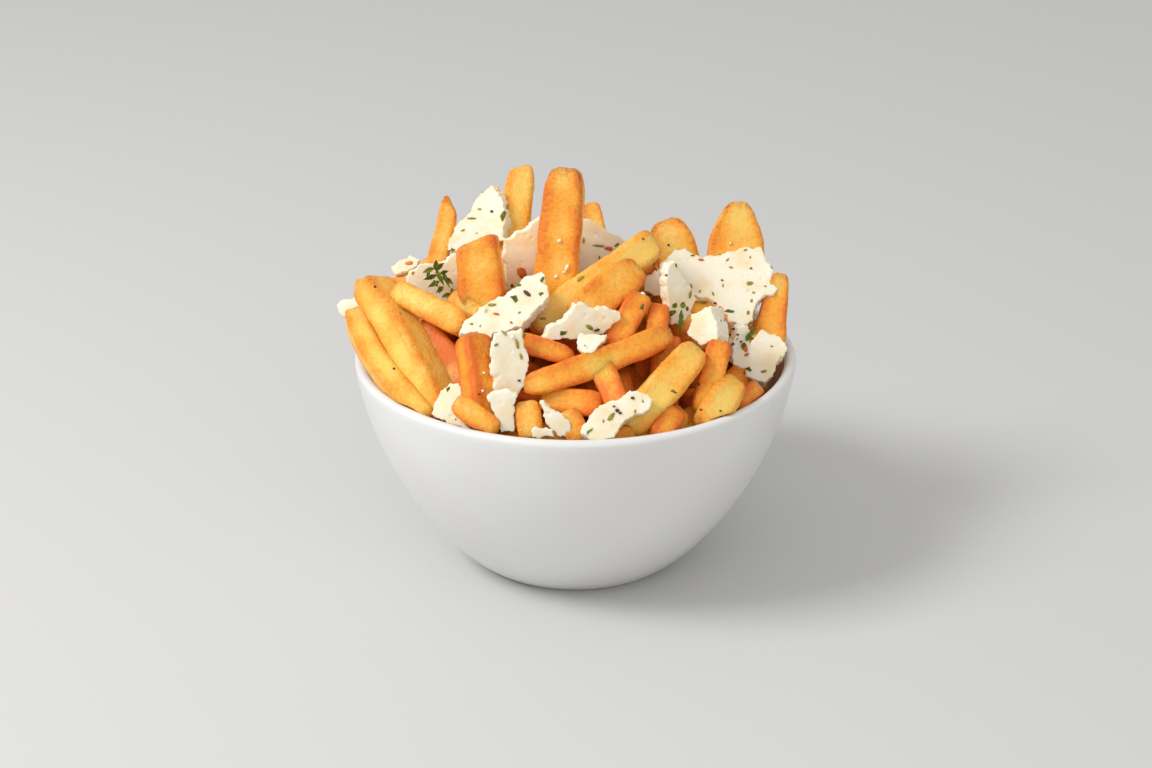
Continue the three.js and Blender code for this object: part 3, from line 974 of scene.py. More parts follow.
FRONT_FRIES = [
    FryPlan(
        (-60, -2, 86), (-38.5, -36, 65), 12, 10.5, roll=56, bend=1, end=0.6, bury=4, droop=4, reach=6,
        tone=-0.38, browning_and_shade=0.8,
    ),
    FryPlan(
        (-65, 0, 76), (-42.5, -40.5, 63.5), 7.5, roll=25, bend=2, side=-3, bury=2, droop=3,
        tone=-0.3, browning_and_shade=0.6,
    ),
    FryPlan((-64.5, 5, 81), (-47, -1, 83.5), 7.5, bury=1, tone=-0.3),
    FryPlan((-52, -9, 86.5), (-32, -24, 82), 8, bend=1.5, end=0.6, bury=2, tone=-0.2, browning_and_shade=0.5),
    # Deep red, with dark edges and ends: painted shade, as this fry lies in the shadow of the fries to its
    # left.
    FryPlan((-45.5, -15, 76.5), (-30.5, -30.5, 65), 12, 9, bury=5, tone=1.2, browning_and_shade=0.75),
    FryPlan((-36, -12, 85.5), (-20, -22, 78.5), 7, bury=3, tone=-0.1),
    FryPlan(
        (-28.3, -6, 101), (-25.5, -16, 72.5), 15, 12, taper=0.84, end=0.93, slant=1.5, bury=4, reach=2.5,
        tone=0.1, browning_and_shade=0.4,
    ),
    FryPlan(
        (-37, 24, 101.5), (-41, 14, 85.5), 7, taper=0.8, end=0.5, slant=-2, bury=13, tone=0.0, browning_and_shade=0.6
    ),
    FryPlan(
        (-16, 26, 112), (-20.5, 10, 82), 10, taper=0.88, end=0.45, slant=1, reach=6, tone=-0.6, browning_and_shade=0.3
    ),
    FryPlan(
        (-2.5, 4, 119.3), (-7.5, -9, 77), 14.5, 13, taper=0.8, end=0.5, reach=7, bury=2,
        tone=0.0, browning_and_shade=0.8,
    ),
    FryPlan((4.5, 30, 99), (7.5, 21, 84), 6.5, tone=-0.3),
    FryPlan(
        (23, 0, 98), (-10.5, -18, 81), 10.5, taper=0.95, end=0.6, bend=1, bury=3, reach=5,
        tone=-0.65, browning_and_shade=0.4,
    ),
    FryPlan(
        (18, -11, 94), (1.5, -24, 85), 11.5, 9, end=0.5, reach=8, bury=2, tone=0.05, browning_and_shade=0.6
    ),
    FryPlan((26.5, 22, 96.5), (32, 17, 82), 14, 12, bend=1, end=0.4, reach=9, tone=-0.25, browning_and_shade=0.6),
    FryPlan(
        (48.5, 23, 102), (47.5, 16, 83.5), 23, 10, taper=0.45, end=0.3, reach=11, bury=2,
        tone=-0.35, browning_and_shade=0.6,
    ),
    FryPlan((60.5, 8, 85), (57, -1, 69.5), 11, 8, taper=0.5, end=0.5, bury=4, tone=-0.05, browning_and_shade=0.7),
    FryPlan((19, -18, 88.5), (11.5, -28, 79), 8, end=0.7, bury=3, tone=0.55),
    FryPlan((24, -18, 85.5), (22.5, -27, 77), 7, bury=3, tone=0.8),
    FryPlan(
        (27, -31, 82.5), (-15, -45, 71.5), 8, bend=1, side=1, bury=0, end=0.35, reach=10,
        tone=0.22, browning_and_shade=0.7,
    ),
    FryPlan((-0.5, -38, 77.8), (-18, -36, 82.5), 6.8, taper=0.8, end=0.35, bury=0, reach=7, tone=0.85),
    FryPlan((-29, -35, 83.5), (-26.5, -46, 68.5), 9.5, roll=35, bury=8, tone=1.0, browning_and_shade=0.5),
    FryPlan((5, -35, 79), (12, -49, 67.5), 7.5, bury=3, tone=0.55),
    FryPlan(
        (34.5, -33, 78.5), (14.5, -48, 61.5), 11, 10, taper=0.9, end=0.5, bury=2, bend=1, reach=7,
        tone=-0.55, browning_and_shade=0.5,
    ),
    FryPlan((41, -29, 79), (36.5, -40, 65.5), 7.5, bury=4, tone=0.25),
    FryPlan(
        (45.5, -35, 69.5), (37, -46, 61.5), 10.5, taper=0.8, end=0.45, bury=2, reach=7,
        tone=-0.45, browning_and_shade=0.6,
    ),
    FryPlan((52, -28, 64.5), (46, -36, 62), 6, bury=2, tone=0.7, browning_and_shade=0.6),
    FryPlan((28.5, -45, 64.5), (24, -51, 61), 7, bury=3, tone=0.7),
    FryPlan((26.5, -22, 77), (25, -37, 64), 9, bury=3, tone=0.7),
    FryPlan((-33.5, -49.5, 69.5), (-23, -53.5, 63.5), 7, bury=2, tone=0.0),
    FryPlan((-13.5, -49.5, 69.5), (-12.5, -54, 62), 7.5, bury=2, end=0.75, tone=-0.05),
    FryPlan((-2.5, -51, 67.5), (0.5, -54, 61), 7.5, bury=2, end=0.75, tone=0.1),
    FryPlan((-10, -43, 67.5), (6, -46, 67), 8, bury=2, tone=0.6),
    FryPlan((13, -32, 70), (15, -42, 62), 6, bury=2, tone=1.0, browning_and_shade=0.6),
]


@dataclass
class FryBar:
    """Turns a fry's plan into a mesh."""

    plan: FryPlan
    cell: float
    draws: Draws
    corner_share: float = 0.21
    end_corner: float = 1.6
    sway: float = 0.025
    hollow: float = 0.07
    twist: float = 0.2
    bow: float = 0.8
    face_tone: float = -0.38
    edge_tone: float = 0.85
    end_tone: float = 0.35

    def mesh(self) -> tuple[np.ndarray, np.ndarray, dict[str, np.ndarray]]:
        """Builds the fry.

        Returns:
            Its points, its quads, and its tone, browning and shift at each point.
        """
        plan = self.plan
        thick = plan.thick or plan.wide * 0.92
        tip = np.array(plan.tip, float)
        along = tip - np.array(plan.foot, float)
        seen = float(np.linalg.norm(along))
        along /= seen
        length = seen + plan.bury
        across = np.cross(along, np.array(plan.facing, float))
        across /= np.linalg.norm(across)
        roll = math.radians(plan.roll)
        across = across * math.cos(roll) + np.cross(along, across) * math.sin(roll)
        out = np.cross(across, along)

        size = np.array([plan.wide, thick, length])
        cells = tuple(max(3, round(extent / self.cell)) for extent in size)
        lattice, quads = block_surface(cells)
        local = self._rounded(lattice * size / 2, size / 2)
        at = np.clip(local[:, 2] / length + 0.5, 0, 1)
        x_share = local[:, 0] / (size[0] / 2)
        y_share = local[:, 1] / (size[1] / 2)
        from_tip = (1 - at) * length
        from_end = np.minimum(from_tip, at * length)
        x, y = self._section(x_share, y_share, at, from_end, size)

        arch = 4 * at * (1 - at)
        side = plan.side + self.bow * (self.draws.next() - 0.5) * length / 30
        bend = plan.bend + self.bow * (self.draws.next() - 0.5) * length / 30
        shear = plan.slant * x_share * np.clip((at - 0.5) / 0.4, 0, 1)
        points = tip - along * length + np.outer(at * length + shear, along)
        points = points + np.outer(x + side * arch, across) + np.outer(y + bend * arch, out)
        points[:, 2] -= plan.droop * np.clip(1 - at / 0.7, 0, 1) ** 1.5

        edge = np.abs(x_share * y_share)
        rim = smooth_step(edge, 0.55, 0.95)
        ends = np.exp(-from_end / 1.5)
        near_tip = np.exp(-from_tip / 6)
        browned = 0.6 * rim + 1.1 * ends + 0.7 * near_tip * rim + 0.25 * near_tip
        values = {
            "tone": plan.tone + self.face_tone + self.edge_tone * smooth_step(edge, 0.1, 0.9)
            + self.end_tone * ends,
            "brown": np.clip(plan.browning_and_shade * browned, 0, 1),
            "shift": np.full(len(points), self.draws.between(0, 2)),
        }
        return points, quads[:, ::-1], values

    def _rounded(self, points: np.ndarray, half: np.ndarray) -> np.ndarray:
        """Rounds a block's long edges and, less so, its ends.

        Args:
            points: Points of the block.
            half: Half of its size.

        Returns:
            The points, rounded.
        """
        corner = self.corner_share * min(half[0], half[1]) * 2
        radius = np.array([corner, corner, self.end_corner])
        inner = np.clip(points, radius - half, half - radius)
        away = (points - inner) / radius
        return inner + radius * away / np.linalg.norm(away, axis=1)[:, None]

    def _section(
        self, x_share: np.ndarray, y_share: np.ndarray, at: np.ndarray, from_end: np.ndarray, size: np.ndarray
    ) -> tuple[np.ndarray, np.ndarray]:
        """The two coordinates across the fry, with its taper, sway, hollow faces and twist.

        Args:
            x_share: Where each point is across, from -1 to 1.
            y_share: The same the other way.
            at: How far along the fry it is, from 0 to 1.
            from_end: How far it is from the nearer end.
            size: The fry's size.

        Returns:
            The coordinates across the fry and out of it.
        """
        plan = self.plan
        near = 1 - np.clip(from_end / plan.reach, 0, 1)
        width = (1 - (1 - plan.taper) * at) * (plan.end + (1 - plan.end) * np.sqrt(1 - near**2))
        waves = [self.draws.between(0, 2 * math.pi) for _ in range(4)]
        turns = at * size[2] / 24 * 2 * math.pi
        x_size = width * (1 + self.sway * (np.sin(turns + waves[0]) + 0.6 * np.sin(2.3 * turns + waves[1])))
        y_size = width * (1 + self.sway * (np.sin(turns + waves[2]) + 0.6 * np.sin(1.9 * turns + waves[3])))
        x = x_share * size[0] / 2 * x_size * (1 - self.hollow * (1 - y_share**2))
        y = y_share * size[1] / 2 * y_size * (1 - self.hollow * (1 - x_share**2))
        turn = self.twist * (self.draws.next() - 0.5) * 2 * (at - 0.5)
        return x * np.cos(turn) - y * np.sin(turn), x * np.sin(turn) + y * np.cos(turn)


class Layer(Enum):
    """The layers of fries, each a piece, with the size of its mesh's cells."""

    FRONT = ("fries_front", 0.65)
    BACK = ("fries_back", 1.05)
    UNDER = ("fries_under", 1.3)


@dataclass
class FriesHeap:
    """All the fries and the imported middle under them, which stand for the CAD's heap."""

    bowl: Bowl
    fill_height: float = 60.0
    core_radius: float = 60.0
    core_rise: float = 22.0
    core_segments: int = 72
    core_lump: float = 1.2
    own_core_drop: float = 16.0
    wall_gap: float = 0.4
    under_slabs: dict[int, float] = field(default_factory=lambda: {1: 6, 2: 1.5, 3: 3.5, 8: 3})
    open_gap: tuple[int, ...] = (10, 15, 23)
    packed_count: int = 15
    leaning_count: int = 9
    standing_count: int = 6
    back_wall_count: int = 7
    wall_count: int = 15
    under_count: int = 46
    lump_height: float = 0.55
    blister_height: float = 0.2

    def core_height(self, radius: float) -> float:
        """How high the fries of the CAD's packed middle lie at a radius."""
        return self.fill_height + self.core_rise * (1 - (radius / self.core_radius) ** 2)

    def lying(
        self, turn: float, radius: float, lie: float, reach: float, lift: float, wide: float, tone: float
    ) -> FryPlan:
        """A fry that lies across the heap.

        Args:
            turn: Where its middle is round the bowl, in radians.
            radius: How far out its middle is.
            lie: The way it points, in radians.
            reach: Half of its length.
            lift: How far its axis is over the CAD's core.
            wide: Its width.
            tone: Its tone.

        Returns:
            The fry.
        """
        ends = []
        for way in (1, -1):
            x = radius * math.cos(turn) + way * reach * math.cos(lie)
            y = radius * math.sin(turn) + way * reach * math.sin(lie)
            ends.append((x, y, self.core_height(min(math.hypot(x, y), 54)) + lift))
        end = 0.55 + 0.15 * math.sin(13 * turn)
        return FryPlan(ends[0], ends[1], wide, facing=(0, 0, 1), bury=0, end=end, reach=4.5, tone=tone)

    def packed(self) -> list[FryPlan]:
        """Fries packed on the core, turned anyhow, except at the front.

        Returns:
            The fries.
        """
        draws = Draws(41)
        fries = []
        for i in range(self.packed_count):
            turn = 2.4 * i + 0.5 * draws.next()
            radius = 42 * math.sqrt((i + 0.7) / self.packed_count)
            lie = turn + math.pi * (0.3 + 0.4 * draws.next())
            reach = 17 + 7 * draws.next()
            lift = 1.5 * draws.next()
            fry = self.lying(turn, radius, lie, reach, lift, 7.5 + 4 * draws.next(), tone=-0.3 + 0.05 * i)
            if radius * math.sin(turn) > -8:
                fries.append(fry)
        return fries

    def by_the_wall(self) -> list[FryPlan]:
        """Fries that lie along the wall at the back, from side to side.

        Returns:
            The fries.
        """
        draws = Draws(3)
        fries = []
        for i in range(self.back_wall_count):
            turn = math.radians(12 + 26 * i + 8 * draws.next())
            lie = turn + math.pi * (0.42 + 0.16 * draws.next())
            reach = 15 + 5 * draws.next()
            lift = 1 + 2 * draws.next()
            fries.append(self.lying(turn, 49, lie, reach, lift, 8 + 3 * draws.next(), tone=0.4 - 0.1 * i))
        return fries

    def leaning(self) -> list[FryPlan]:
        """Fries that lie outwards over the rim at the back, from side to side.

        Returns:
            The fries.
        """
        draws = Draws(7)
        fries = []
        for i in range(self.leaning_count):
            turn = math.radians(20 + 16.5 * i + 6 * draws.next())
            twist = turn + (draws.next() - 0.5) * 1.4
            reach = 55 + 8 * draws.next()
            drop = self.under_slabs.get(i, 0)
            tip = (reach * math.cos(turn), reach * math.sin(turn), 71 - drop + 4 * draws.next())
            foot = (28 * math.cos(twist), 28 * math.sin(twist), 75 - drop + 6 * draws.next())
            wide = 8 + 4 * draws.next()
            roll = 60 * draws.next()
            end = 0.5 + 0.3 * draws.next()
            taper = 0.75 + 0.25 * draws.next()
            tone = 0.7 * math.sin(4.1 * i) - 0.2
            fries.append(
                FryPlan(tip, foot, wide, roll=roll, end=end, taper=taper, facing=(0, 0, 1), bury=4,
                        tone=tone, browning_and_shade=0.5)
            )
        return fries

    def standing(self) -> list[FryPlan]:
        """Fries that stick up out of the back half of the heap.

        Returns:
            The fries.
        """
        draws = Draws(19)
        fries = []
        for i in range(self.standing_count):
            turn = math.radians(28 + 22 * i + 8 * draws.next())
            radius = 27 + 12 * (i % 2) + 4 * draws.next()
            inner = radius * (0.3 + 0.25 * draws.next())
            tip = (radius * math.cos(turn), radius * math.sin(turn), 84 + 3 * draws.next())
            foot = (inner * math.cos(turn + 0.4), inner * math.sin(turn + 0.4), 72)
            wide = 8 + 4 * draws.next()
            roll = 90 * draws.next()
            facing = (math.cos(turn), math.sin(turn), 0.3)
            tone = 0.6 * math.sin(2.3 * i + 1) - 0.2
            fries.append(
                FryPlan(tip, foot, wide, roll=roll, taper=0.85, facing=facing, tone=tone, browning_and_shade=0.5)
            )
        return fries

    def under(self) -> list[FryPlan]:
        """Fries under the ones that show, seen through the gaps; the deepest gap, in front, has none. Their
        deep red tone and dark edges are painted shade.

        Returns:
            The fries.
        """
        draws = Draws(11)
        fries = []
        for i in range(self.under_count):
            turn = 2.4 * i + 0.6 * draws.next()
            radius = 50 * math.sqrt((i + 0.5) / self.under_count)
            lie = turn + math.pi * draws.between(0.2, 0.8)
            reach = draws.between(11, 17)
            lift = draws.between(-13.0, -8.0)
            wide = draws.between(7, 10)
            # A deep red tone and, below, dark edges and ends: painted shade for the bottom of the gaps.
            fry = self.lying(turn, radius, lie, reach, lift, wide, tone=draws.between(0.9, 1.5))
            if i not in self.open_gap:
                fries.append(replace(fry, browning_and_shade=0.9))
        return fries

    def against_the_wall(self) -> list[FryPlan]:
        """Fries that lie along the wall all round, just under the rim.

        Returns:
            The fries.
        """
        draws = Draws(29)
        fries = []
        for i in range(self.wall_count):
            turn = 2 * math.pi * (i + 0.3 * draws.next()) / self.wall_count
            lie = turn + math.pi / 2 + draws.between(-0.12, 0.12)
            radius = draws.between(50.5, 52.5)
            reach = draws.between(12, 15)
            wide = draws.between(7.5, 9.5)
            fry = self.lying(turn, radius, lie, reach, 0, wide, tone=draws.between(-0.2, 0.6))
            height = draws.between(56.5, 59.5)
            tip, foot = [(*end[:2], height + way) for end, way in ((fry.tip, 1.5), (fry.foot, -1.5))]
            fries.append(replace(fry, tip=tip, foot=foot, bend=0, side=-1.5))
        return fries

    def inside_the_wall(self, points: np.ndarray) -> np.ndarray:
        """Presses points that would cross the bowl's wall or lip back inside.

        Args:
            points: Points of a fry.

        Returns:
            The points, those below the rim drawn in towards the axis.
        """
        bowl = self.bowl
        lip = bowl.wall / 2
        lip_height = bowl.height - lip
        radius = np.hypot(points[:, 0], points[:, 1])
        height = points[:, 2]
        limit = bowl.inner_radius(height, self.wall_gap)
        rise = np.clip((height - lip_height) / (lip + self.wall_gap), 0, 1)
        in_lip = height > lip_height
        lip_limit = bowl.rim_radius - lip - (lip + self.wall_gap) * np.sqrt(1 - rise**2)
        limit = np.where(in_lip, lip_limit, limit)
        low = height < bowl.height + self.wall_gap
        share = np.where(low & (radius > limit), limit / np.maximum(radius, 1e-6), 1)
        pressed = points.copy()
        pressed[:, :2] *= share[:, None]
        return pressed

    def core(self) -> tuple[np.ndarray, list[list[int]]]:
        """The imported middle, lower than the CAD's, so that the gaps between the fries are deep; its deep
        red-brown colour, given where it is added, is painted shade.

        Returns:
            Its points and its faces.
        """
        low = self.bowl.floor + 1
        high = self.fill_height - self.own_core_drop
        wall = self.bowl.inset(self.bowl.wall + 0.8)
        wall = wall[(wall[:, 1] > low + 1) & (wall[:, 1] < high - 2)]
        profile = [[0, low], [wall[0, 0] - 3, low], *wall[::3].tolist()]
        for radius in np.linspace(self.core_radius - 4, 0, 14):
            profile.append([radius, self.core_height(radius) - self.own_core_drop])
        points, faces = lathe(profile, self.core_segments)
        radius, height = np.hypot(points[:, 0], points[:, 1]), points[:, 2]
        turn = np.arctan2(points[:, 1], points[:, 0])
        lump = self.core_lump * np.sin(7 * turn + 0.3 * radius) * np.sin(0.35 * radius)
        points[:, 2] += np.where(height > high + 1, lump, 0)
        return self.inside_the_wall(points), faces

    def skin_tree(self) -> bpy.types.NodeTree:
        """The geometry tree that gives fries their uneven, blistered skin.

        Returns:
            The tree.
        """
        inputs = {
            "Geometry": ("Geometry", None),
            "Lump Scale": ("Float", 120.0),
            "Lump Height": ("Float", 0.0),
            "Blister Scale": ("Float", 520.0),
            "Blister Height": ("Float", 0.0),
            "Seed": ("Float", 0.0),
            "Skin": ("Material", None),
        }
        wiring, given, out = node_group("GeometryNodeTree", "Fry Skin", inputs, {"Geometry": "Geometry"})
        place = wiring.add("GeometryNodeInputPosition").outputs[0]
        place = wiring.moved(place, wiring.maths("ADD", wiring.kept("shift"), given.outputs["Seed"]))
        lump = wiring.maths("SUBTRACT", wiring.noise(place, given.outputs["Lump Scale"], 3.0), 0.5)
        lump = wiring.maths("MULTIPLY", lump, given.outputs["Lump Height"])
        cell = wiring.cells(place, given.outputs["Blister Scale"])
        spots = wiring.remap(wiring.noise(place, 200.0), 0.42, 0.62)
        blister = wiring.maths("MULTIPLY", wiring.remap(cell, 0.6, 0.1), spots)
        blister = wiring.maths("MULTIPLY", blister, given.outputs["Blister Height"])
        moved = wiring.pushed(given.outputs["Geometry"], wiring.maths("ADD", lump, blister))
        wiring.end(moved, given.outputs["Skin"], out)
        return wiring.tree

    def build(self, material: bpy.types.Material) -> dict[Layer, bpy.types.Object]:
        """Makes the three layers of fries and the core.

        Args:
            material: The fried potato.

        Returns:
            The piece of each layer.
        """
        tree = self.skin_tree()
        back = [*self.leaning(), *self.standing(), *self.by_the_wall(), *self.packed()]
        under = [*self.under(), *self.against_the_wall()]
        plans = {Layer.FRONT: FRONT_FRIES, Layer.BACK: back, Layer.UNDER: under}
        pieces = {}
        for seed, (layer, fries) in enumerate(plans.items(), start=1):
            name, cell = layer.value
            draws = Draws(100 + seed)
            parts = Parts()
            for plan in fries:
                points, quads, values = FryBar(plan, cell, draws).mesh()
                parts.add(self.inside_the_wall(points), quads, **values)
            if layer is Layer.UNDER:
                # The core is coloured deep red-brown all over: painted shade at the bottom of the gaps.
                parts.add(*self.core(), tone=1.4, brown=0.9, shift=3.0)
            piece = parts.build(name)
            values = {
                "Lump Height": self.lump_height * MM,
                "Blister Height": self.blister_height * MM,
                "Seed": 0.37 * seed,
                "Skin": material,
            }
            pieces[layer] = run_tree(piece, tree, values)
        for layer, piece in pieces.items():
            finish_piece(piece, ["fries_heap"])
        return pieces


# Cheese


@dataclass(frozen=True)
class FacePlan:
    """A broad face: its middle, the way it looks in degrees, and, for cheese, its outline and thickness."""

    at: Point
    heading: float
    tilt: float
    outline: tuple[Flat, ...] = ()
    thick: float = 0.0

    def placed(self, points: np.ndarray) -> np.ndarray:
        """Puts points in their place, given in the face's own frame.

        Args:
            points: Millimetres across the face, up it and out of it.

        Returns:
            The points in the portion's frame.
        """
        turn, lift = math.radians(self.heading), math.radians(self.tilt)
        across = np.array([math.cos(turn), math.sin(turn), 0])
        out = np.array([math.sin(turn) * math.cos(lift), -math.cos(turn) * math.cos(lift), math.sin(lift)])
        return points @ np.array([across, np.cross(out, across), out]) + np.array(self.at)


CHEESE = {
    "cheese_top_left": FacePlan(
        (-21, -28, 87.5), 0, 58,
        ((-12, -7.5), (-10.5, -3), (-3, 4), (4, 8.5), (7, 12.5), (11.5, 14.5), (12.5, 10), (13.5, 6),
         (6, -5), (2, -6.5), (-2, -7), (-4.5, -11.5), (-6.5, -6.5)), 4.5,
    ),
    "cheese_hanging_sheet": FacePlan(
        (-18, -45, 79.5), 10, 15,
        ((-4, 8), (3.5, 9), (4, 4), (5, -0.5), (4, -4), (2, -9), (-5, -8), (-5.5, -3), (-5.5, 3)), 2.6,
    ),
    "cheese_front_shard": FacePlan(
        (-20.5, -54, 68.3), 0, 10,
        ((-4, 4), (-2.5, 5.5), (2, 6), (4.5, 4.5), (3, 2), (3.5, -5.5), (0, -6), (-1, -3), (-3, 1)), 3,
    ),
    "cheese_folded": FacePlan(
        (-1.5, -33, 85.5), 15, 15,
        ((-8.5, -3), (2, 6), (5, 5.5), (7, 4), (15, 2.5), (15, 0), (10, -3), (2, -4), (-6, -4)), 4,
    ),
    "cheese_lobe": FacePlan(
        (4.5, -39.5, 83), 0, 40, ((-3, 3), (5, 3), (2, -1), (-1, -3), (-3, -2.5), (-4, 0)), 3
    ),
    "cheese_left_rim": FacePlan(
        (-35, -45, 67.3), -20, 30,
        ((-1, 5.5), (1.5, 5.5), (6, 1.5), (9, -6.5), (4.5, -6.5), (-4.5, -4.5), (-5, -1)), 4.5,
    ),
    "cheese_shred": FacePlan(
        (-5.5, -55.5, 67), 0, 15,
        ((-4.5, 5), (-3, 5.2), (-0.8, 2.6), (2.2, 1), (4.4, -3.2), (3.8, -5), (0.8, -5), (-1.2, -2.5),
         (-3.2, 0.5)), 2.4,
    ),
    "cheese_crumb_front": FacePlan(
        (-8.5, -57, 63.5), 0, 20, ((-3, 2), (2, 1), (3, -1.5), (-1.5, -2), (-3.5, -1.5)), 2
    ),
    "cheese_front_rim": FacePlan(
        (11.5, -55, 67.5), 5, 35,
        ((-10.5, -4), (-9.5, -2), (-6.5, 1.5), (-2.5, 4), (3.5, 7), (7, 6.5), (10.5, 4.5), (9.5, 2.5),
         (6, 0.5), (0.5, -3.5), (-1, -6), (-4, -6.5), (-8, -6.5)), 5,
    ),
    "cheese_right_leaning": FacePlan(
        (30, -16, 88), 35, 15,
        ((0, 10), (1.5, 6.5), (3.5, 2), (5.5, -2.5), (3, -6.5), (0, -8), (-4.5, -8), (-4.5, 0), (-3, 8.5)),
        3.5,
    ),
    "cheese_right_large": FacePlan(
        (41, 2, 82.2), 5, 50,
        ((-17, 6.5), (-15, 10), (-11, 14), (-7.5, 14.5), (-3, 11), (1, 11.5), (5, 12.5), (12.5, 13.5),
         (15, 14), (17, 8), (18.5, 0), (17.5, -2), (12.5, -4), (10.5, -8.5), (8.5, -11.5), (5.5, -12),
         (3, -10.5), (1.5, -6), (-6.5, -1.5)), 4.2,
    ),
    "cheese_right_block": FacePlan(
        (36, -27, 83), -30, 25, ((-4.5, 2.5), (1, 6), (3, 3), (5.5, -3.5), (0.5, -5.5), (-4.5, -3)), 8
    ),
    "cheese_right_rim": FacePlan(
        (56, -14, 67.7), 10, 45,
        ((-0.5, 9), (5, 5.5), (6, 2), (-2.5, -8), (-5, -7), (-7.5, -5.5), (-6, -1.5), (-5, 4)), 6,
    ),
    "cheese_peppered": FacePlan(
        (47.5, -22, 74), 15, 10, ((-3, 1), (-1, 6), (2.5, 6), (3, 0.5), (3, -6), (-2.5, -5)), 4
    ),
    "cheese_back_peak": FacePlan(
        (-29, 14, 99), -25, 25,
        ((2.5, 11.5), (5.5, 9.5), (7.5, 5.5), (9, 0.5), (9.5, -4), (2.5, -8), (-8, -10), (-6, -1), (-4, 1),
         (-2, 5.5), (0.5, 9.5)), 5,
    ),
    "cheese_behind_left": FacePlan(
        (-16, 2, 94), 10, 15, ((-5, 4), (5, 9), (10, 10), (9, -10.5), (-4.5, -11), (-5, -2)), 4
    ),
    "cheese_behind_right": FacePlan(
        (7, 10, 93), 0, 25,
        ((-8, 9), (-4.5, 8), (-1, 7), (2.5, 4.5), (6, 2.5), (7.5, 1.5), (6.5, -6), (-8, -8.5)), 5,
    ),
    "cheese_with_sprig": FacePlan(
        (-42, -3, 88), 5, 20, ((-6.5, 2), (7.5, 7), (9.5, 4), (10.5, -7), (2.5, -8.5), (-7.5, -2)), 4
    ),
    "cheese_left_back": FacePlan(
        (-49.5, 2, 90.3), 0, 40, ((-4.5, -1), (-2, 1), (1, 3), (4, 1.5), (3, -0.5), (0, -2.5), (-3, -3.5)),
        3.5,
    ),
    "cheese_over_rim": FacePlan(
        (-66.5, 4, 76.3), -20, 30, ((-4.5, -0.5), (-3.5, 1), (3.5, 4.5), (5, -0.5), (0, -3.5), (-3.5, -2)),
        2.6,
    ),
    "cheese_small_middle": FacePlan(
        (21.5, -8, 88.5), 0, 20, ((-2, 1), (1.5, 3.5), (3.5, 1), (2.5, -4), (-1.5, -2.5)), 3
    ),
    "cheese_rear_large": FacePlan(
        (14, 41, 80), 165, 52,
        ((-14, 4), (-11, 10), (-3, 9), (4, 12), (12, 11), (15, 2), (9, -8), (1, -11), (-4, -6), (-11, -5)),
        4.5,
    ),
    "cheese_rear_left": FacePlan(
        (-30, 36, 82), 218, 40, ((-9, -5), (-6, 4), (0, 9), (5, 7), (9, -1), (4, -7), (-3, -9)), 4
    ),
    "cheese_rear_right": FacePlan(
        (40, 34, 76), 128, 38, ((-7, -6), (-8, 1), (-2, 7), (5, 5), (8, -2), (3, -8)), 5
    ),
    "cheese_rear_shred": FacePlan(
        (-8, 50, 71), 188, 35, ((-9, -2), (-5, 3), (3, 4), (10, 1), (8, -3), (0, -3)), 3
    ),
    "cheese_side_left": FacePlan(
        (-51, 22, 77), 248, 45, ((-6, -5), (-7, 2), (-1, 7), (6, 4), (5, -4), (0, -7)), 4
    ),
}


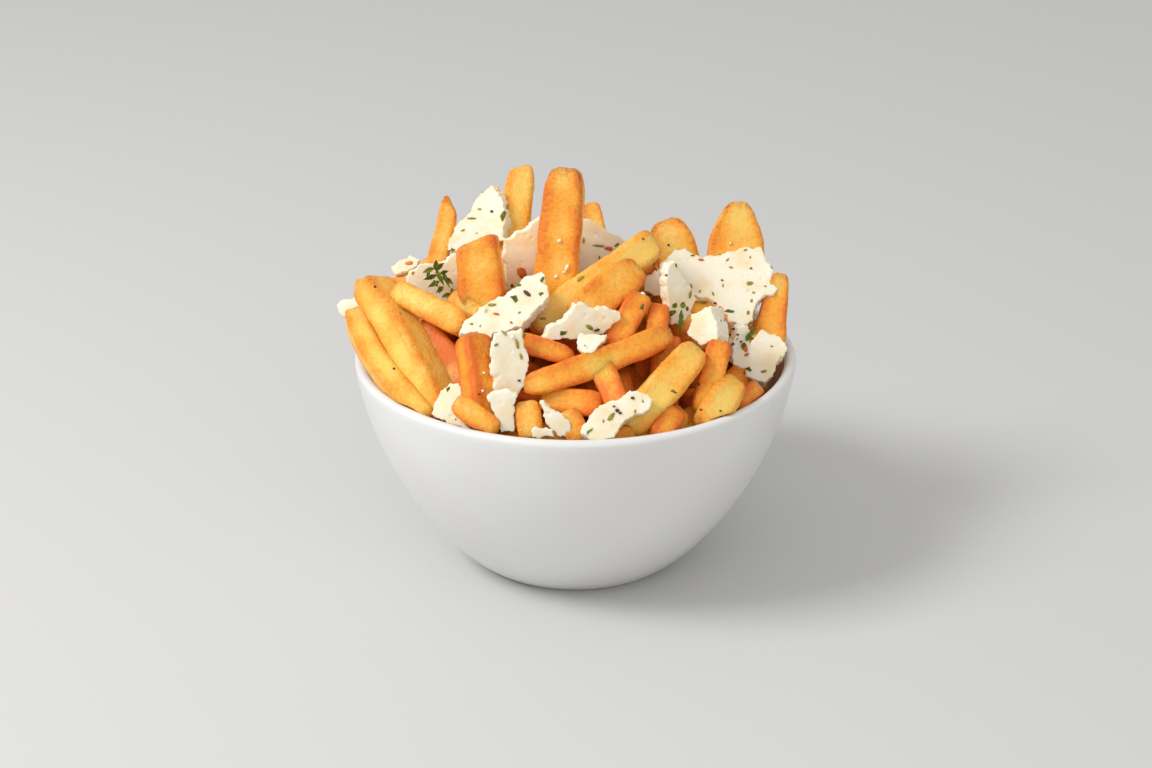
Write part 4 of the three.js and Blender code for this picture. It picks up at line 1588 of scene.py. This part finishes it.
@dataclass
class Cheese:
    """The slabs of cheese, each a piece that stands for its node."""

    voxel: float = 0.36
    step: float = 0.9
    ragged: float = 0.3
    face_height: float = 0.4
    rim_height: float = 1.0

    def ragged_outline(self, outline: Sequence[Flat], draws: Draws) -> list[np.ndarray]:
        """An outline with broken edges.

        Args:
            outline: The corners.
            draws: The draws that place the breaks.

        Returns:
            The corners with ever finer points between them, each moved aside by a share of its edge.
        """
        points = [np.array(corner, float) for corner in outline]
        while True:
            finer = []
            for start, end in zip(points, (*points[1:], points[0])):
                along = end - start
                length = math.hypot(*along)
                finer.append(start)
                if length > self.step:
                    jog = self.ragged * (draws.next() - 0.5)
                    finer.append((start + end) / 2 + jog * np.array([-along[1], along[0]]))
            if len(finer) == len(points):
                break
            points = finer
        return points

    def remeshed_slab(self, name: str, plan: FacePlan, draws: Draws) -> bpy.types.Object:
        """A slab in its face's frame, divided into even cells.

        Args:
            name: The slab's name.
            plan: The slab's plan.
            draws: The draws that shape its edge.

        Returns:
            The slab, a helper object.
        """
        outline = self.ragged_outline(plan.outline, draws)
        points = [(x, y, height) for height in (-plan.thick, 0.0) for x, y in outline]
        parts = Parts()
        parts.add(np.array(points), prism_faces(len(outline), 2))
        slab = parts.build(name)
        modifier = slab.modifiers.new("even cells", "REMESH")
        modifier.mode = "VOXEL"
        modifier.voxel_size = self.voxel * MM
        return settle(slab)

    def crumble_tree(self) -> bpy.types.NodeTree:
        """The geometry tree that pits a slab's faces and breaks its edges.

        Returns:
            The tree.
        """
        inputs = {
            "Geometry": ("Geometry", None),
            "Face Height": ("Float", 0.0),
            "Rim Height": ("Float", 0.0),
            "Seed": ("Float", 0.0),
            "Surface": ("Material", None),
        }
        wiring, given, out = node_group("GeometryNodeTree", "Crumble", inputs, {"Geometry": "Geometry"})
        place = wiring.add("GeometryNodeInputPosition").outputs[0]
        place = wiring.moved(place, wiring.maths("ADD", wiring.kept("shift"), given.outputs["Seed"]))
        swell = wiring.maths("SUBTRACT", wiring.noise(place, 150.0), 0.5)
        pit = wiring.remap(wiring.cells(place, 420.0), 0.34, 0.12)
        pit = wiring.maths("MULTIPLY", pit, wiring.remap(wiring.noise(place, 230.0), 0.5, 0.62))
        pit = wiring.maths("MULTIPLY", pit, 0.7)
        face = wiring.maths("SUBTRACT", wiring.maths("MULTIPLY", swell, 1.4), pit)
        face = wiring.maths("MULTIPLY", face, given.outputs["Face Height"])
        crumb = wiring.maths("MULTIPLY_ADD", wiring.cells(place, 850.0), -0.6, 0.27)
        broken = wiring.maths("SUBTRACT", wiring.noise(place, 380.0, 5.0), 0.5)
        edge = wiring.maths("MULTIPLY", wiring.maths("ADD", crumb, broken), given.outputs["Rim Height"])
        height = wiring.maths("ADD", face, wiring.maths("MULTIPLY", edge, wiring.kept("rim")))
        wiring.end(wiring.pushed(given.outputs["Geometry"], height), given.outputs["Surface"], out)
        return wiring.tree

    def build(self, material: bpy.types.Material) -> dict[str, bpy.types.Object]:
        """Makes every slab.

        Args:
            material: The cheese.

        Returns:
            The piece that stands for each node.
        """
        tree = self.crumble_tree()
        slabs = {}
        for number, (node, plan) in enumerate(CHEESE.items()):
            name = node.replace("cheese", "crumbly_cheese")
            draws = Draws(300 + number)
            rough = self.remeshed_slab(name + "_rough", plan, draws)
            points, normals, faces = mesh_arrays(rough.data)
            discard(rough)
            rim = 1 - smooth_step(np.abs(normals[:, 2]), 0.6, 0.97)
            parts = Parts()
            parts.add(plan.placed(points), faces, rim=rim, shift=draws.between(0, 2))
            values = {
                "Face Height": self.face_height * MM,
                "Rim Height": self.rim_height * MM,
                "Seed": 0.29 * number,
                "Surface": material,
            }
            slabs[node] = run_tree(parts.build(name), tree, values)
        for node, slab in slabs.items():
            finish_piece(slab, [node])
        return slabs


# Parsley


LEAVES = {
    "parsley_sprig": FacePlan((-39.5, -6.5, 89), 5, 20),
    "parsley_long": FacePlan((30, -23, 84), 10, 20),
    "parsley_rim": FacePlan((49, -21, 77), 10, 30),
}


@dataclass(frozen=True)
class Leaflet:
    """One lobe of a leaf: where its stalk ends, the way it points in degrees, and how long and wide it is."""

    at: Flat
    turn: float
    length: float
    wide: float
    lobes: int = 3


LEAFLETS = {
    "parsley_sprig": (
        Leaflet((-0.9, 2.4), 85, 3.3, 1.5), Leaflet((-1.4, 3.2), 200, 3.5, 1.4),
        Leaflet((-0.9, 2.6), 40, 3.3, 1.3), Leaflet((-0.5, 1.2), 197, 4.2, 1.3),
        Leaflet((0.1, -0.6), 205, 3.8, 1.3), Leaflet((-0.8, 2.8), 295, 5.2, 1.3),
        Leaflet((1.0, 2.4), 292, 5.6, 1.1), Leaflet((2.2, 0.4), 310, 2.8, 1.1, 2),
        Leaflet((1.3, -2.2), 218, 2.8, 1.2, 2), Leaflet((3.2, -4.3), 200, 2.9, 1.2, 2),
        Leaflet((3.6, -2.6), 276, 3.0, 1.1, 2), Leaflet((1.0, 0.6), 330, 2.2, 1.0, 2),
        Leaflet((-2.8, 2.2), 250, 2.0, 1.0, 2), Leaflet((0.2, -2.0), 265, 2.2, 1.0, 2),
        Leaflet((0.4, 1.6), 15, 2.6, 1.1), Leaflet((-1.6, -0.2), 300, 2.4, 1.0, 2),
    ),
    "parsley_long": (
        Leaflet((-2.2, 2.6), 60, 1.8, 1.3), Leaflet((0.2, 2.4), 70, 2.0, 1.6),
        Leaflet((0.2, 2.0), 262, 6.8, 1.3, 2), Leaflet((-1.4, 1.8), 200, 1.5, 0.9, 2),
    ),
    "parsley_rim": (
        Leaflet((-0.6, -1.4), 52, 3.4, 1.5), Leaflet((0.6, 0.2), 40, 2.8, 1.4),
        Leaflet((-0.9, -1.8), 240, 1.8, 1.2), Leaflet((0.4, -0.6), 350, 1.6, 0.9, 2),
    ),
}


@dataclass
class Parsley:
    """The leaves of parsley that are nodes of their own."""

    thick: float = 0.22
    lift: float = 0.75
    cup: float = 0.35
    steps: int = 16

    def leaflet(self, leaf: Leaflet) -> tuple[np.ndarray, np.ndarray]:
        """A lobed leaf, thin and cupped, lying near the plane z = 0.

        Args:
            leaf: The leaflet's plan.

        Returns:
            Its points and its faces, a closed skin.
        """
        lattice, faces = block_surface((self.steps - 1, 4, 1))
        share, side = (lattice[:, 0] + 1) / 2, lattice[:, 1]
        lobed = 0.72 + 0.28 * np.cos(2 * math.pi * leaf.lobes * share) ** 2
        half = np.maximum(0.625 * leaf.wide * np.sin(math.pi * share**0.8) * lobed, 0.06)
        x, y = share * leaf.length, side * half
        z = self.cup * side**2 * (0.5 + half) + 0.3 * np.sin(5 * share + leaf.turn)
        turn = math.radians(leaf.turn)
        across = leaf.at[0] + x * math.cos(turn) - y * math.sin(turn)
        up = leaf.at[1] + x * math.sin(turn) + y * math.cos(turn)
        return np.stack([across, up, z + self.thick * (lattice[:, 2] - 1) / 2], axis=1), faces

    def build(self, material: bpy.types.Material) -> dict[str, bpy.types.Object]:
        """Makes the leaves.

        Args:
            material: The parsley.

        Returns:
            The piece that stands for each node.
        """
        pieces = {}
        for node, plan in LEAVES.items():
            parts = Parts()
            for number, leaf in enumerate(LEAFLETS[node]):
                points, faces = self.leaflet(leaf)
                points[:, 2] += self.lift + 0.3 * math.sin(2.1 * number)
                parts.add(plan.placed(points), faces, pick=0.5 + 0.4 * math.sin(1.7 * number))
            piece = parts.build(node.replace("parsley", "leafy_parsley"))
            piece.data.materials.append(material)
            finish_piece(piece, [node])
            pieces[node] = piece
        return pieces


# Seasoning


@dataclass(frozen=True)
class StrewPlan:
    """How one kind is strewn: bits for each square metre, sizes as shares, and the draw."""

    kind: Seasoning
    piece: str
    on_cheese: float
    on_fries: float
    smallest: float
    largest: float
    seed: int
    by_cheese: bool = False


STREWN = (
    StrewPlan(Seasoning.HERB, "dried_herbs", 28000, 1400, 0.55, 1.25, 4),
    StrewPlan(Seasoning.PARSLEY, "parsley_bits", 6500, 500, 0.5, 1.2, 9),
    StrewPlan(Seasoning.PEPPER, "black_pepper", 8000, 2200, 0.45, 1.05, 14),
    StrewPlan(Seasoning.CHILI, "chili_flakes", 2200, 200, 0.5, 1.2, 23),
    StrewPlan(Seasoning.CRUMB, "cheese_crumbs", 3000, 10000, 0.5, 1.4, 31, by_cheese=True),
)


@dataclass(frozen=True)
class Bit:
    """One bit where the picture shows it: its column and row there, its length and width, and its turn."""

    column: float
    row: float
    length: float
    wide: float
    turn: float = 0.0


BITS = {
    Seasoning.HERB: (
        Bit(542.5, 318.5, 2.4, 0.7, 5), Bit(491.7, 305, 2.8, 1.3, 10), Bit(471.5, 324, 1.2, 0.8),
        Bit(519.4, 312.7, 1.2, 0.7, 30), Bit(517, 344, 3.6, 1.1, -75), Bit(521, 356, 2.2, 1.0, -70),
        Bit(496, 345, 1.4, 0.9, 30), Bit(523.5, 335.5, 1.8, 1.0, 60), Bit(589.5, 327, 2.6, 1.4, -35),
        Bit(507, 207.5, 2.0, 1.1, 70), Bit(471.5, 218.5, 3.4, 0.7, -5), Bit(479.5, 209, 1.4, 0.7),
        Bit(580.5, 279, 3.0, 1.1, 35), Bit(598.7, 245.7, 4.0, 0.8, -6), Bit(629, 239, 2.8, 0.8, 45),
        Bit(617, 244.7, 1.8, 0.9, 30), Bit(690, 294.5, 2.4, 1.2, 75), Bit(704, 303, 2.2, 1.3, 30),
        Bit(750, 283.5, 2.2, 1.4, 10), Bit(753.5, 292.5, 1.2, 0.8), Bit(751.5, 301, 1.6, 0.8, 70),
        Bit(748, 313, 1.6, 0.9, 80), Bit(611, 417, 3.0, 1.4, 50), Bit(603.5, 421, 1.2, 0.7, 80),
    ),
    Seasoning.PARSLEY: (
        Bit(514.5, 298.5, 4.2, 2.2, -50), Bit(518.5, 285, 2.0, 1.6, 20), Bit(542, 280, 1.9, 1.1, 80),
        Bit(541, 294, 1.6, 1.2, 60), Bit(456.7, 336.5, 2.2, 0.9, 80), Bit(562.5, 333, 2.2, 1.5, 20),
        Bit(503, 216, 3.4, 1.9, 70), Bit(452.5, 249.5, 1.6, 1.1), Bit(393, 262, 1.9, 1.4, 30),
        Bit(448, 389, 1.6, 1.0, 60), Bit(564.5, 437, 2.8, 1.3, 5), Bit(673.5, 391.5, 1.8, 1.0, -20),
        Bit(676, 265, 1.2, 0.8, -50), Bit(671.5, 313.5, 2.8, 1.9, 30), Bit(692.5, 255.5, 1.4, 0.7),
        Bit(729, 311, 2.8, 1.3, 0), Bit(749, 324.5, 2.4, 1.4, 20), Bit(745, 372.5, 3.6, 1.9, 35),
        Bit(748.5, 369, 2.2, 1.4, -30), Bit(791.5, 354.5, 2.0, 0.9, 5), Bit(769, 382, 3.6, 0.9, 38),
        Bit(589, 431.5, 2.6, 0.8, 45), Bit(628.5, 427, 2.6, 1.0, -10),
    ),
    Seasoning.PEPPER: (
        Bit(527, 293.5, 2.9, 1.5, -50), Bit(511.8, 286, 1.3, 1.0), Bit(519, 380.5, 1.2, 0.7),
        Bit(597, 330, 1.8, 0.8, 15), Bit(491.7, 211.5, 1.1, 0.8), Bit(375, 287, 0.8, 0.7),
        Bit(394, 369, 0.8, 0.6), Bit(479, 394, 0.9, 0.6), Bit(525, 329, 0.9, 0.8),
        Bit(643, 239, 0.8, 0.6), Bit(668.5, 245, 0.9, 0.7), Bit(699, 384.5, 0.8, 0.6),
        Bit(701, 409.7, 0.9, 0.7), Bit(720.5, 411, 0.8, 0.6), Bit(666.5, 275, 0.9, 0.7),
        Bit(687, 308.5, 1.4, 0.9, 80), Bit(715.5, 303, 1.3, 0.7), Bit(751, 268.5, 0.8, 0.7),
        Bit(729, 334.5, 1.1, 0.9), Bit(733, 344, 1.1, 0.9), Bit(737.5, 334.5, 1.0, 0.8),
        Bit(734, 329, 0.9, 0.8), Bit(741, 341.5, 0.9, 0.7), Bit(775.5, 370.5, 1.0, 0.8),
        Bit(632.5, 398, 1.3, 0.9), Bit(617, 410.5, 1.3, 1.0), Bit(620, 413, 1.1, 0.8),
        Bit(614, 406.5, 0.9, 0.7),
    ),
    Seasoning.CHILI: (
        Bit(521.5, 272.5, 3.6, 2.6, -60), Bit(496.5, 314, 2.4, 0.8, -15), Bit(409.5, 263, 2.6, 1.4, 10),
        Bit(608.5, 248.5, 2.8, 1.5, -10), Bit(701, 260, 1.8, 1.1), Bit(744.5, 348, 3.3, 1.8, -60),
        Bit(747, 354.5, 1.8, 1.1, 20),
    ),
    Seasoning.CRUMB: (
        Bit(421, 320.5, 1.3, 0.9, 30), Bit(559.5, 241, 2.0, 1.4, 20), Bit(567.3, 266.5, 3.0, 1.2, 60),
        Bit(556, 276.5, 1.6, 1.2), Bit(564, 272, 1.4, 1.0), Bit(647.5, 292.5, 2.2, 1.5, 30),
        Bit(643, 294.5, 1.6, 1.1), Bit(651, 297, 1.3, 1.0), Bit(512.7, 336.5, 1.6, 1.0, 70),
    ),
}


@dataclass
class Strewing:
    """Herbs, pepper, chili and crumbs, strewn at random and, where the picture shows them, one by one."""

    view: View
    shapes: int = 5
    sides: int = 7

    def bit(
        self, kind: Seasoning, draws: Draws, size: Flat | None = None
    ) -> tuple[np.ndarray, list[list[int]]]:
        """One bit, lying in the plane z = 0.

        Args:
            kind: What it is of.
            draws: The draws that shape it.
            size: Its length and width, or None for drawn ones.

        Returns:
            Its points and its faces, a closed body of a few dozen faces.
        """
        length, wide, thick = {
            Seasoning.HERB: (draws.between(1.1, 2.6), draws.between(0.45, 0.95), 0.2),
            Seasoning.PARSLEY: (draws.between(1.2, 2.4), draws.between(0.8, 1.5), 0.2),
            Seasoning.PEPPER: (draws.between(0.6, 1.1), draws.between(0.5, 0.8), 0.5),
            Seasoning.CHILI: (draws.between(1.2, 2.2), draws.between(0.8, 1.4), 0.3),
            Seasoning.CRUMB: (draws.between(0.6, 1.6), draws.between(0.5, 1.1), 0.6),
        }[kind]
        if size:
            length, wide = size
        lobes = 0.22 if kind is Seasoning.PARSLEY else 0.0
        inmost = 0.45 if kind is Seasoning.CRUMB else 0.75
        ring = []
        for i in range(self.sides):
            turn = 2 * math.pi * i / self.sides
            reach = draws.between(inmost, 1.15) + lobes * (-1) ** i
            ring.append([length / 2 * reach * math.cos(turn), wide / 2 * reach * math.sin(turn)])
        curl = draws.between(-0.12, 0.2)
        points = []
        for level, shrink in ((-0.3, 0.85), (0.2, 1.0), (1.0, 0.7)):
            for x, y in ring:
                points.append([x * shrink, y * shrink, level * thick + curl * x * x])
        return np.array(points), prism_faces(self.sides, 3)

    def strew_tree(self) -> bpy.types.NodeTree:
        """The geometry tree that strews bits over a surface.

        Returns:
            The tree.
        """
        inputs = {
            "Geometry": ("Geometry", None),
            "Bits": ("Collection", None),
            "Density": ("Float", 0.0),
            "Smallest": ("Float", 0.5),
            "Largest": ("Float", 1.0),
            "Patch Scale": ("Float", 75.0),
            "Seed": ("Int", 0),
            "Surface": ("Material", None),
        }
        wiring, given, out = node_group("GeometryNodeTree", "Strew", inputs, {"Geometry": "Geometry"})
        place = wiring.moved(wiring.add("GeometryNodeInputPosition").outputs[0], given.outputs["Seed"])
        patches = wiring.remap(wiring.noise(place, given.outputs["Patch Scale"]), 0.44, 0.66)
        density = wiring.maths("MULTIPLY", wiring.kept("season"), patches)
        density = wiring.maths("MULTIPLY", density, given.outputs["Density"])
        points = wiring.add(
            "GeometryNodeDistributePointsOnFaces",
            {"Mesh": given.outputs["Geometry"], "Density": density, "Seed": given.outputs["Seed"]},
        )
        bits = wiring.add(
            "GeometryNodeCollectionInfo",
            {"Collection": given.outputs["Bits"], "Separate Children": True, "Reset Children": True},
        )
        spin = wiring.add(
            "FunctionNodeRandomValue",
            {"Min": (-0.3, -0.3, 0.0), "Max": (0.3, 0.3, 2 * math.pi), "Seed": given.outputs["Seed"]},
            data_type="FLOAT_VECTOR",
        )
        turned = wiring.add(
            "FunctionNodeRotateRotation",
            {
                "Rotation": points.outputs["Rotation"],
                "Rotate By": wiring.add("FunctionNodeEulerToRotation", {"Euler": spin.outputs[0]}).outputs[0],
            },
            rotation_space="LOCAL",
        )
        extent = {2: given.outputs["Smallest"], 3: given.outputs["Largest"], "Seed": given.outputs["Seed"]}
        size = wiring.add("FunctionNodeRandomValue", extent, data_type="FLOAT")
        placed = wiring.add(
            "GeometryNodeInstanceOnPoints",
            {
                "Points": points.outputs["Points"],
                "Instance": bits.outputs[0],
                "Pick Instance": True,
                "Rotation": turned.outputs[0],
                "Scale": size.outputs[1],
            },
        )
        pick = wiring.add("FunctionNodeRandomValue", data_type="FLOAT")
        kept = wiring.add(
            "GeometryNodeStoreNamedAttribute",
            {"Geometry": placed.outputs[0], "Name": "pick", "Value": pick.outputs[1]},
            data_type="FLOAT",
            domain="INSTANCE",
        )
        wiring.end(kept.outputs[0], given.outputs["Surface"], out)
        return wiring.tree

    def carrier(
        self, plan: StrewPlan, slabs: Sequence[bpy.types.Object], fries: Sequence[bpy.types.Object]
    ) -> bpy.types.Object:
        """A copy of what the bits lie on, with its share of them at each point.

        Args:
            plan: How they are strewn.
            slabs: The cheese.
            fries: The fries.

        Returns:
            A helper object with the share as its attribute "season".
        """
        cheese = surface_of(slabs)
        most = max(plan.on_cheese, plan.on_fries)
        parts = Parts()
        layers = [(slab, plan.on_cheese, False) for slab in slabs]
        layers += [(fry, plan.on_fries, plan.by_cheese) for fry in fries]
        for made, density, by_cheese in layers:
            points, normals, faces = mesh_arrays(made.data)
            season = density / most * smooth_step(normals[:, 2], -0.3, 0.35)
            if by_cheese:
                away = np.array([cheese.find_nearest(Vector(point * MM))[3] / MM for point in points])
                season = season * (1 - smooth_step(away, 1.5, 7.0))
            parts.add(points, faces, season=season)
        return parts.build(plan.piece)

    def strewn(
        self, plan: StrewPlan, tree: bpy.types.NodeTree, carrier: bpy.types.Object,
        material: bpy.types.Material,
    ) -> bpy.types.Object:
        """Strews one kind over its carrier, which becomes the bits.

        Args:
            plan: How they are strewn.
            tree: The geometry tree.
            carrier: What they lie on.
            material: Their material.

        Returns:
            The carrier, whose mesh is now the bits.
        """
        draws = Draws(plan.seed)
        bits = bpy.data.collections.new(plan.piece)
        for number in range(self.shapes):
            parts = Parts()
            parts.add(*self.bit(plan.kind, draws))
            shape = parts.build(f"{plan.piece}_{number}")
            bpy.context.scene.collection.objects.unlink(shape)
            bits.objects.link(shape)
        values = {
            "Bits": bits,
            "Density": max(plan.on_cheese, plan.on_fries),
            "Smallest": plan.smallest,
            "Largest": plan.largest,
            "Seed": plan.seed,
            "Surface": material,
        }
        made = run_tree(carrier, tree, values)
        for shape in list(bits.objects):
            discard(shape)
        bpy.data.collections.remove(bits)
        return made

    def placed(
        self, kind: Seasoning, bit: Bit, surface: BVHTree, draws: Draws
    ) -> tuple[np.ndarray, list[list[int]]] | None:
        """A bit laid where the picture shows it, on whatever shows there.

        Args:
            kind: What it is of.
            bit: The bit.
            surface: All that can carry it.
            draws: The draws that shape it.

        Returns:
            Its points and faces, or None if nothing carries it.
        """
        start, way = self.view.ray(bit.column, bit.row)
        hit, normal, _, _ = surface.ray_cast(start, way)
        points, faces = self.bit(kind, draws, (bit.length, bit.wide))
        if hit is None:
            return None
        right, above = self.view.axes()
        turn = math.radians(bit.turn)
        along = right * math.cos(turn) + above * math.sin(turn)
        along = (along - normal * along.dot(normal)).normalized()
        basis = np.array([along, normal.cross(along), normal])
        return points @ basis + np.array(hit) / MM, faces

    def build(
        self,
        dresses: dict[Seasoning, bpy.types.Material],
        slabs: Sequence[bpy.types.Object],
        fries: Sequence[bpy.types.Object],
    ) -> list[bpy.types.Object]:
        """Makes one piece of each kind.

        Args:
            dresses: Each kind's material.
            slabs: The cheese.
            fries: The fries that show.

        Returns:
            The pieces.
        """
        tree = self.strew_tree()
        surface = surface_of([*slabs, *fries])
        pieces = []
        for plan in STREWN:
            material = dresses[plan.kind]
            strewn = self.strewn(plan, tree, self.carrier(plan, slabs, fries), material)
            points, _, faces = mesh_arrays(strewn.data)
            pick = np.empty(len(points))
            strewn.data.attributes["pick"].data.foreach_get("value", pick)
            discard(strewn)
            parts = Parts()
            parts.add(points, faces, pick=pick, shift=pick)
            draws = Draws(plan.seed + 50)
            for bit in BITS[plan.kind]:
                laid = self.placed(plan.kind, bit, surface, draws)
                if laid:
                    share = draws.next()
                    parts.add(*laid, pick=share, shift=share)
            piece = parts.build(plan.piece)
            piece.data.materials.append(material)
            finish_piece(piece)
            pieces.append(piece)
        return pieces


# Studio


@dataclass
class Studio:
    """A plain pale floor, soft light from the upper left, and the camera."""

    view: View
    floor_half: float = 3000.0
    floor_colour: Colour = (0.62, 0.62, 0.62, 1)
    floor_roughness: float = 0.9
    aim: Point = (0, 0, 0.06)
    key_from: Point = (-0.77, -0.32, 0.90)
    key_size: float = 0.42
    key_power: float = 8.8
    fill_from: Point = (0.25, -1.1, 0.75)
    fill_size: float = 1.3
    fill_power: float = 2.2
    sky: Colour = (1.0, 0.99, 0.965, 1)
    sky_strength: float = 0.64

    def build(self) -> None:
        """Makes the floor, the lights, the world and the camera."""
        self._floor()
        self._light("key", self.key_from, self.key_size, self.key_power)
        self._light("fill", self.fill_from, self.fill_size, self.fill_power)
        world = bpy.data.worlds.new("studio")
        world.use_nodes = True
        background = world.node_tree.nodes["Background"]
        Wiring(world.node_tree).feed(background, {"Color": self.sky, "Strength": self.sky_strength})
        bpy.context.scene.world = world
        bpy.context.scene.view_settings.view_transform = "Standard"
        self._camera()

    def _floor(self) -> None:
        """Lays the floor just under the bowl."""
        half = self.floor_half
        parts = Parts()
        corners = np.array([[-half, -half, 0], [half, -half, 0], [half, half, 0], [-half, half, 0]])
        parts.add(corners, [[0, 1, 2, 3]])
        floor = parts.build("floor")
        material, wiring, shader = new_material("pale floor")
        wiring.feed(shader, {"Base Color": self.floor_colour, "Roughness": self.floor_roughness})
        floor.data.materials.append(material)

    def _light(self, name: str, place: Point, size: float, power: float) -> None:
        """Hangs a soft square light that looks at the heap.

        Args:
            name: The light's name.
            place: Where it hangs, in metres.
            size: How wide it is, in metres.
            power: Its power in watts.
        """
        lamp = bpy.data.lights.new(name, "AREA")
        lamp.size = size
        lamp.energy = power
        made = bpy.data.objects.new(name, lamp)
        made.location = place
        way = Vector(self.aim) - Vector(place)
        made.rotation_euler = way.to_track_quat("-Z", "Y").to_euler()
        bpy.context.scene.collection.objects.link(made)

    def _camera(self) -> None:
        """Sets the camera where the picture was taken from."""
        camera = bpy.data.objects.new("camera", bpy.data.cameras.new("camera"))
        camera.data.lens = self.view.lens
        camera.data.sensor_width = self.view.sensor
        camera.location = self.view.place
        camera.rotation_euler = (math.pi / 2 - self.view.tilt, 0, 0)
        camera.data.clip_start = 0.01
        camera.data.dof.use_dof = False
        bpy.context.scene.collection.objects.link(camera)
        bpy.context.scene.camera = camera


def main() -> None:
    """Builds the portion and the studio, piece by piece."""
    logging.basicConfig(level=logging.INFO, format="%(name)s: %(message)s")
    effects = Effects.build()
    view = View()
    bowl = Bowl()
    bowl.build(GlazeFinish().build(effects))
    fries = FriesHeap(bowl).build(FryFinish().build(effects))
    dresses = {kind: kind.value.build(effects) for kind in Seasoning}
    slabs = list(Cheese().build(dresses[Seasoning.CRUMB]).values())
    Parsley().build(dresses[Seasoning.PARSLEY])
    Strewing(view).build(dresses, slabs, [fries[Layer.FRONT], fries[Layer.BACK]])
    Studio(view).build()


if __name__ == "__main__":
    main()
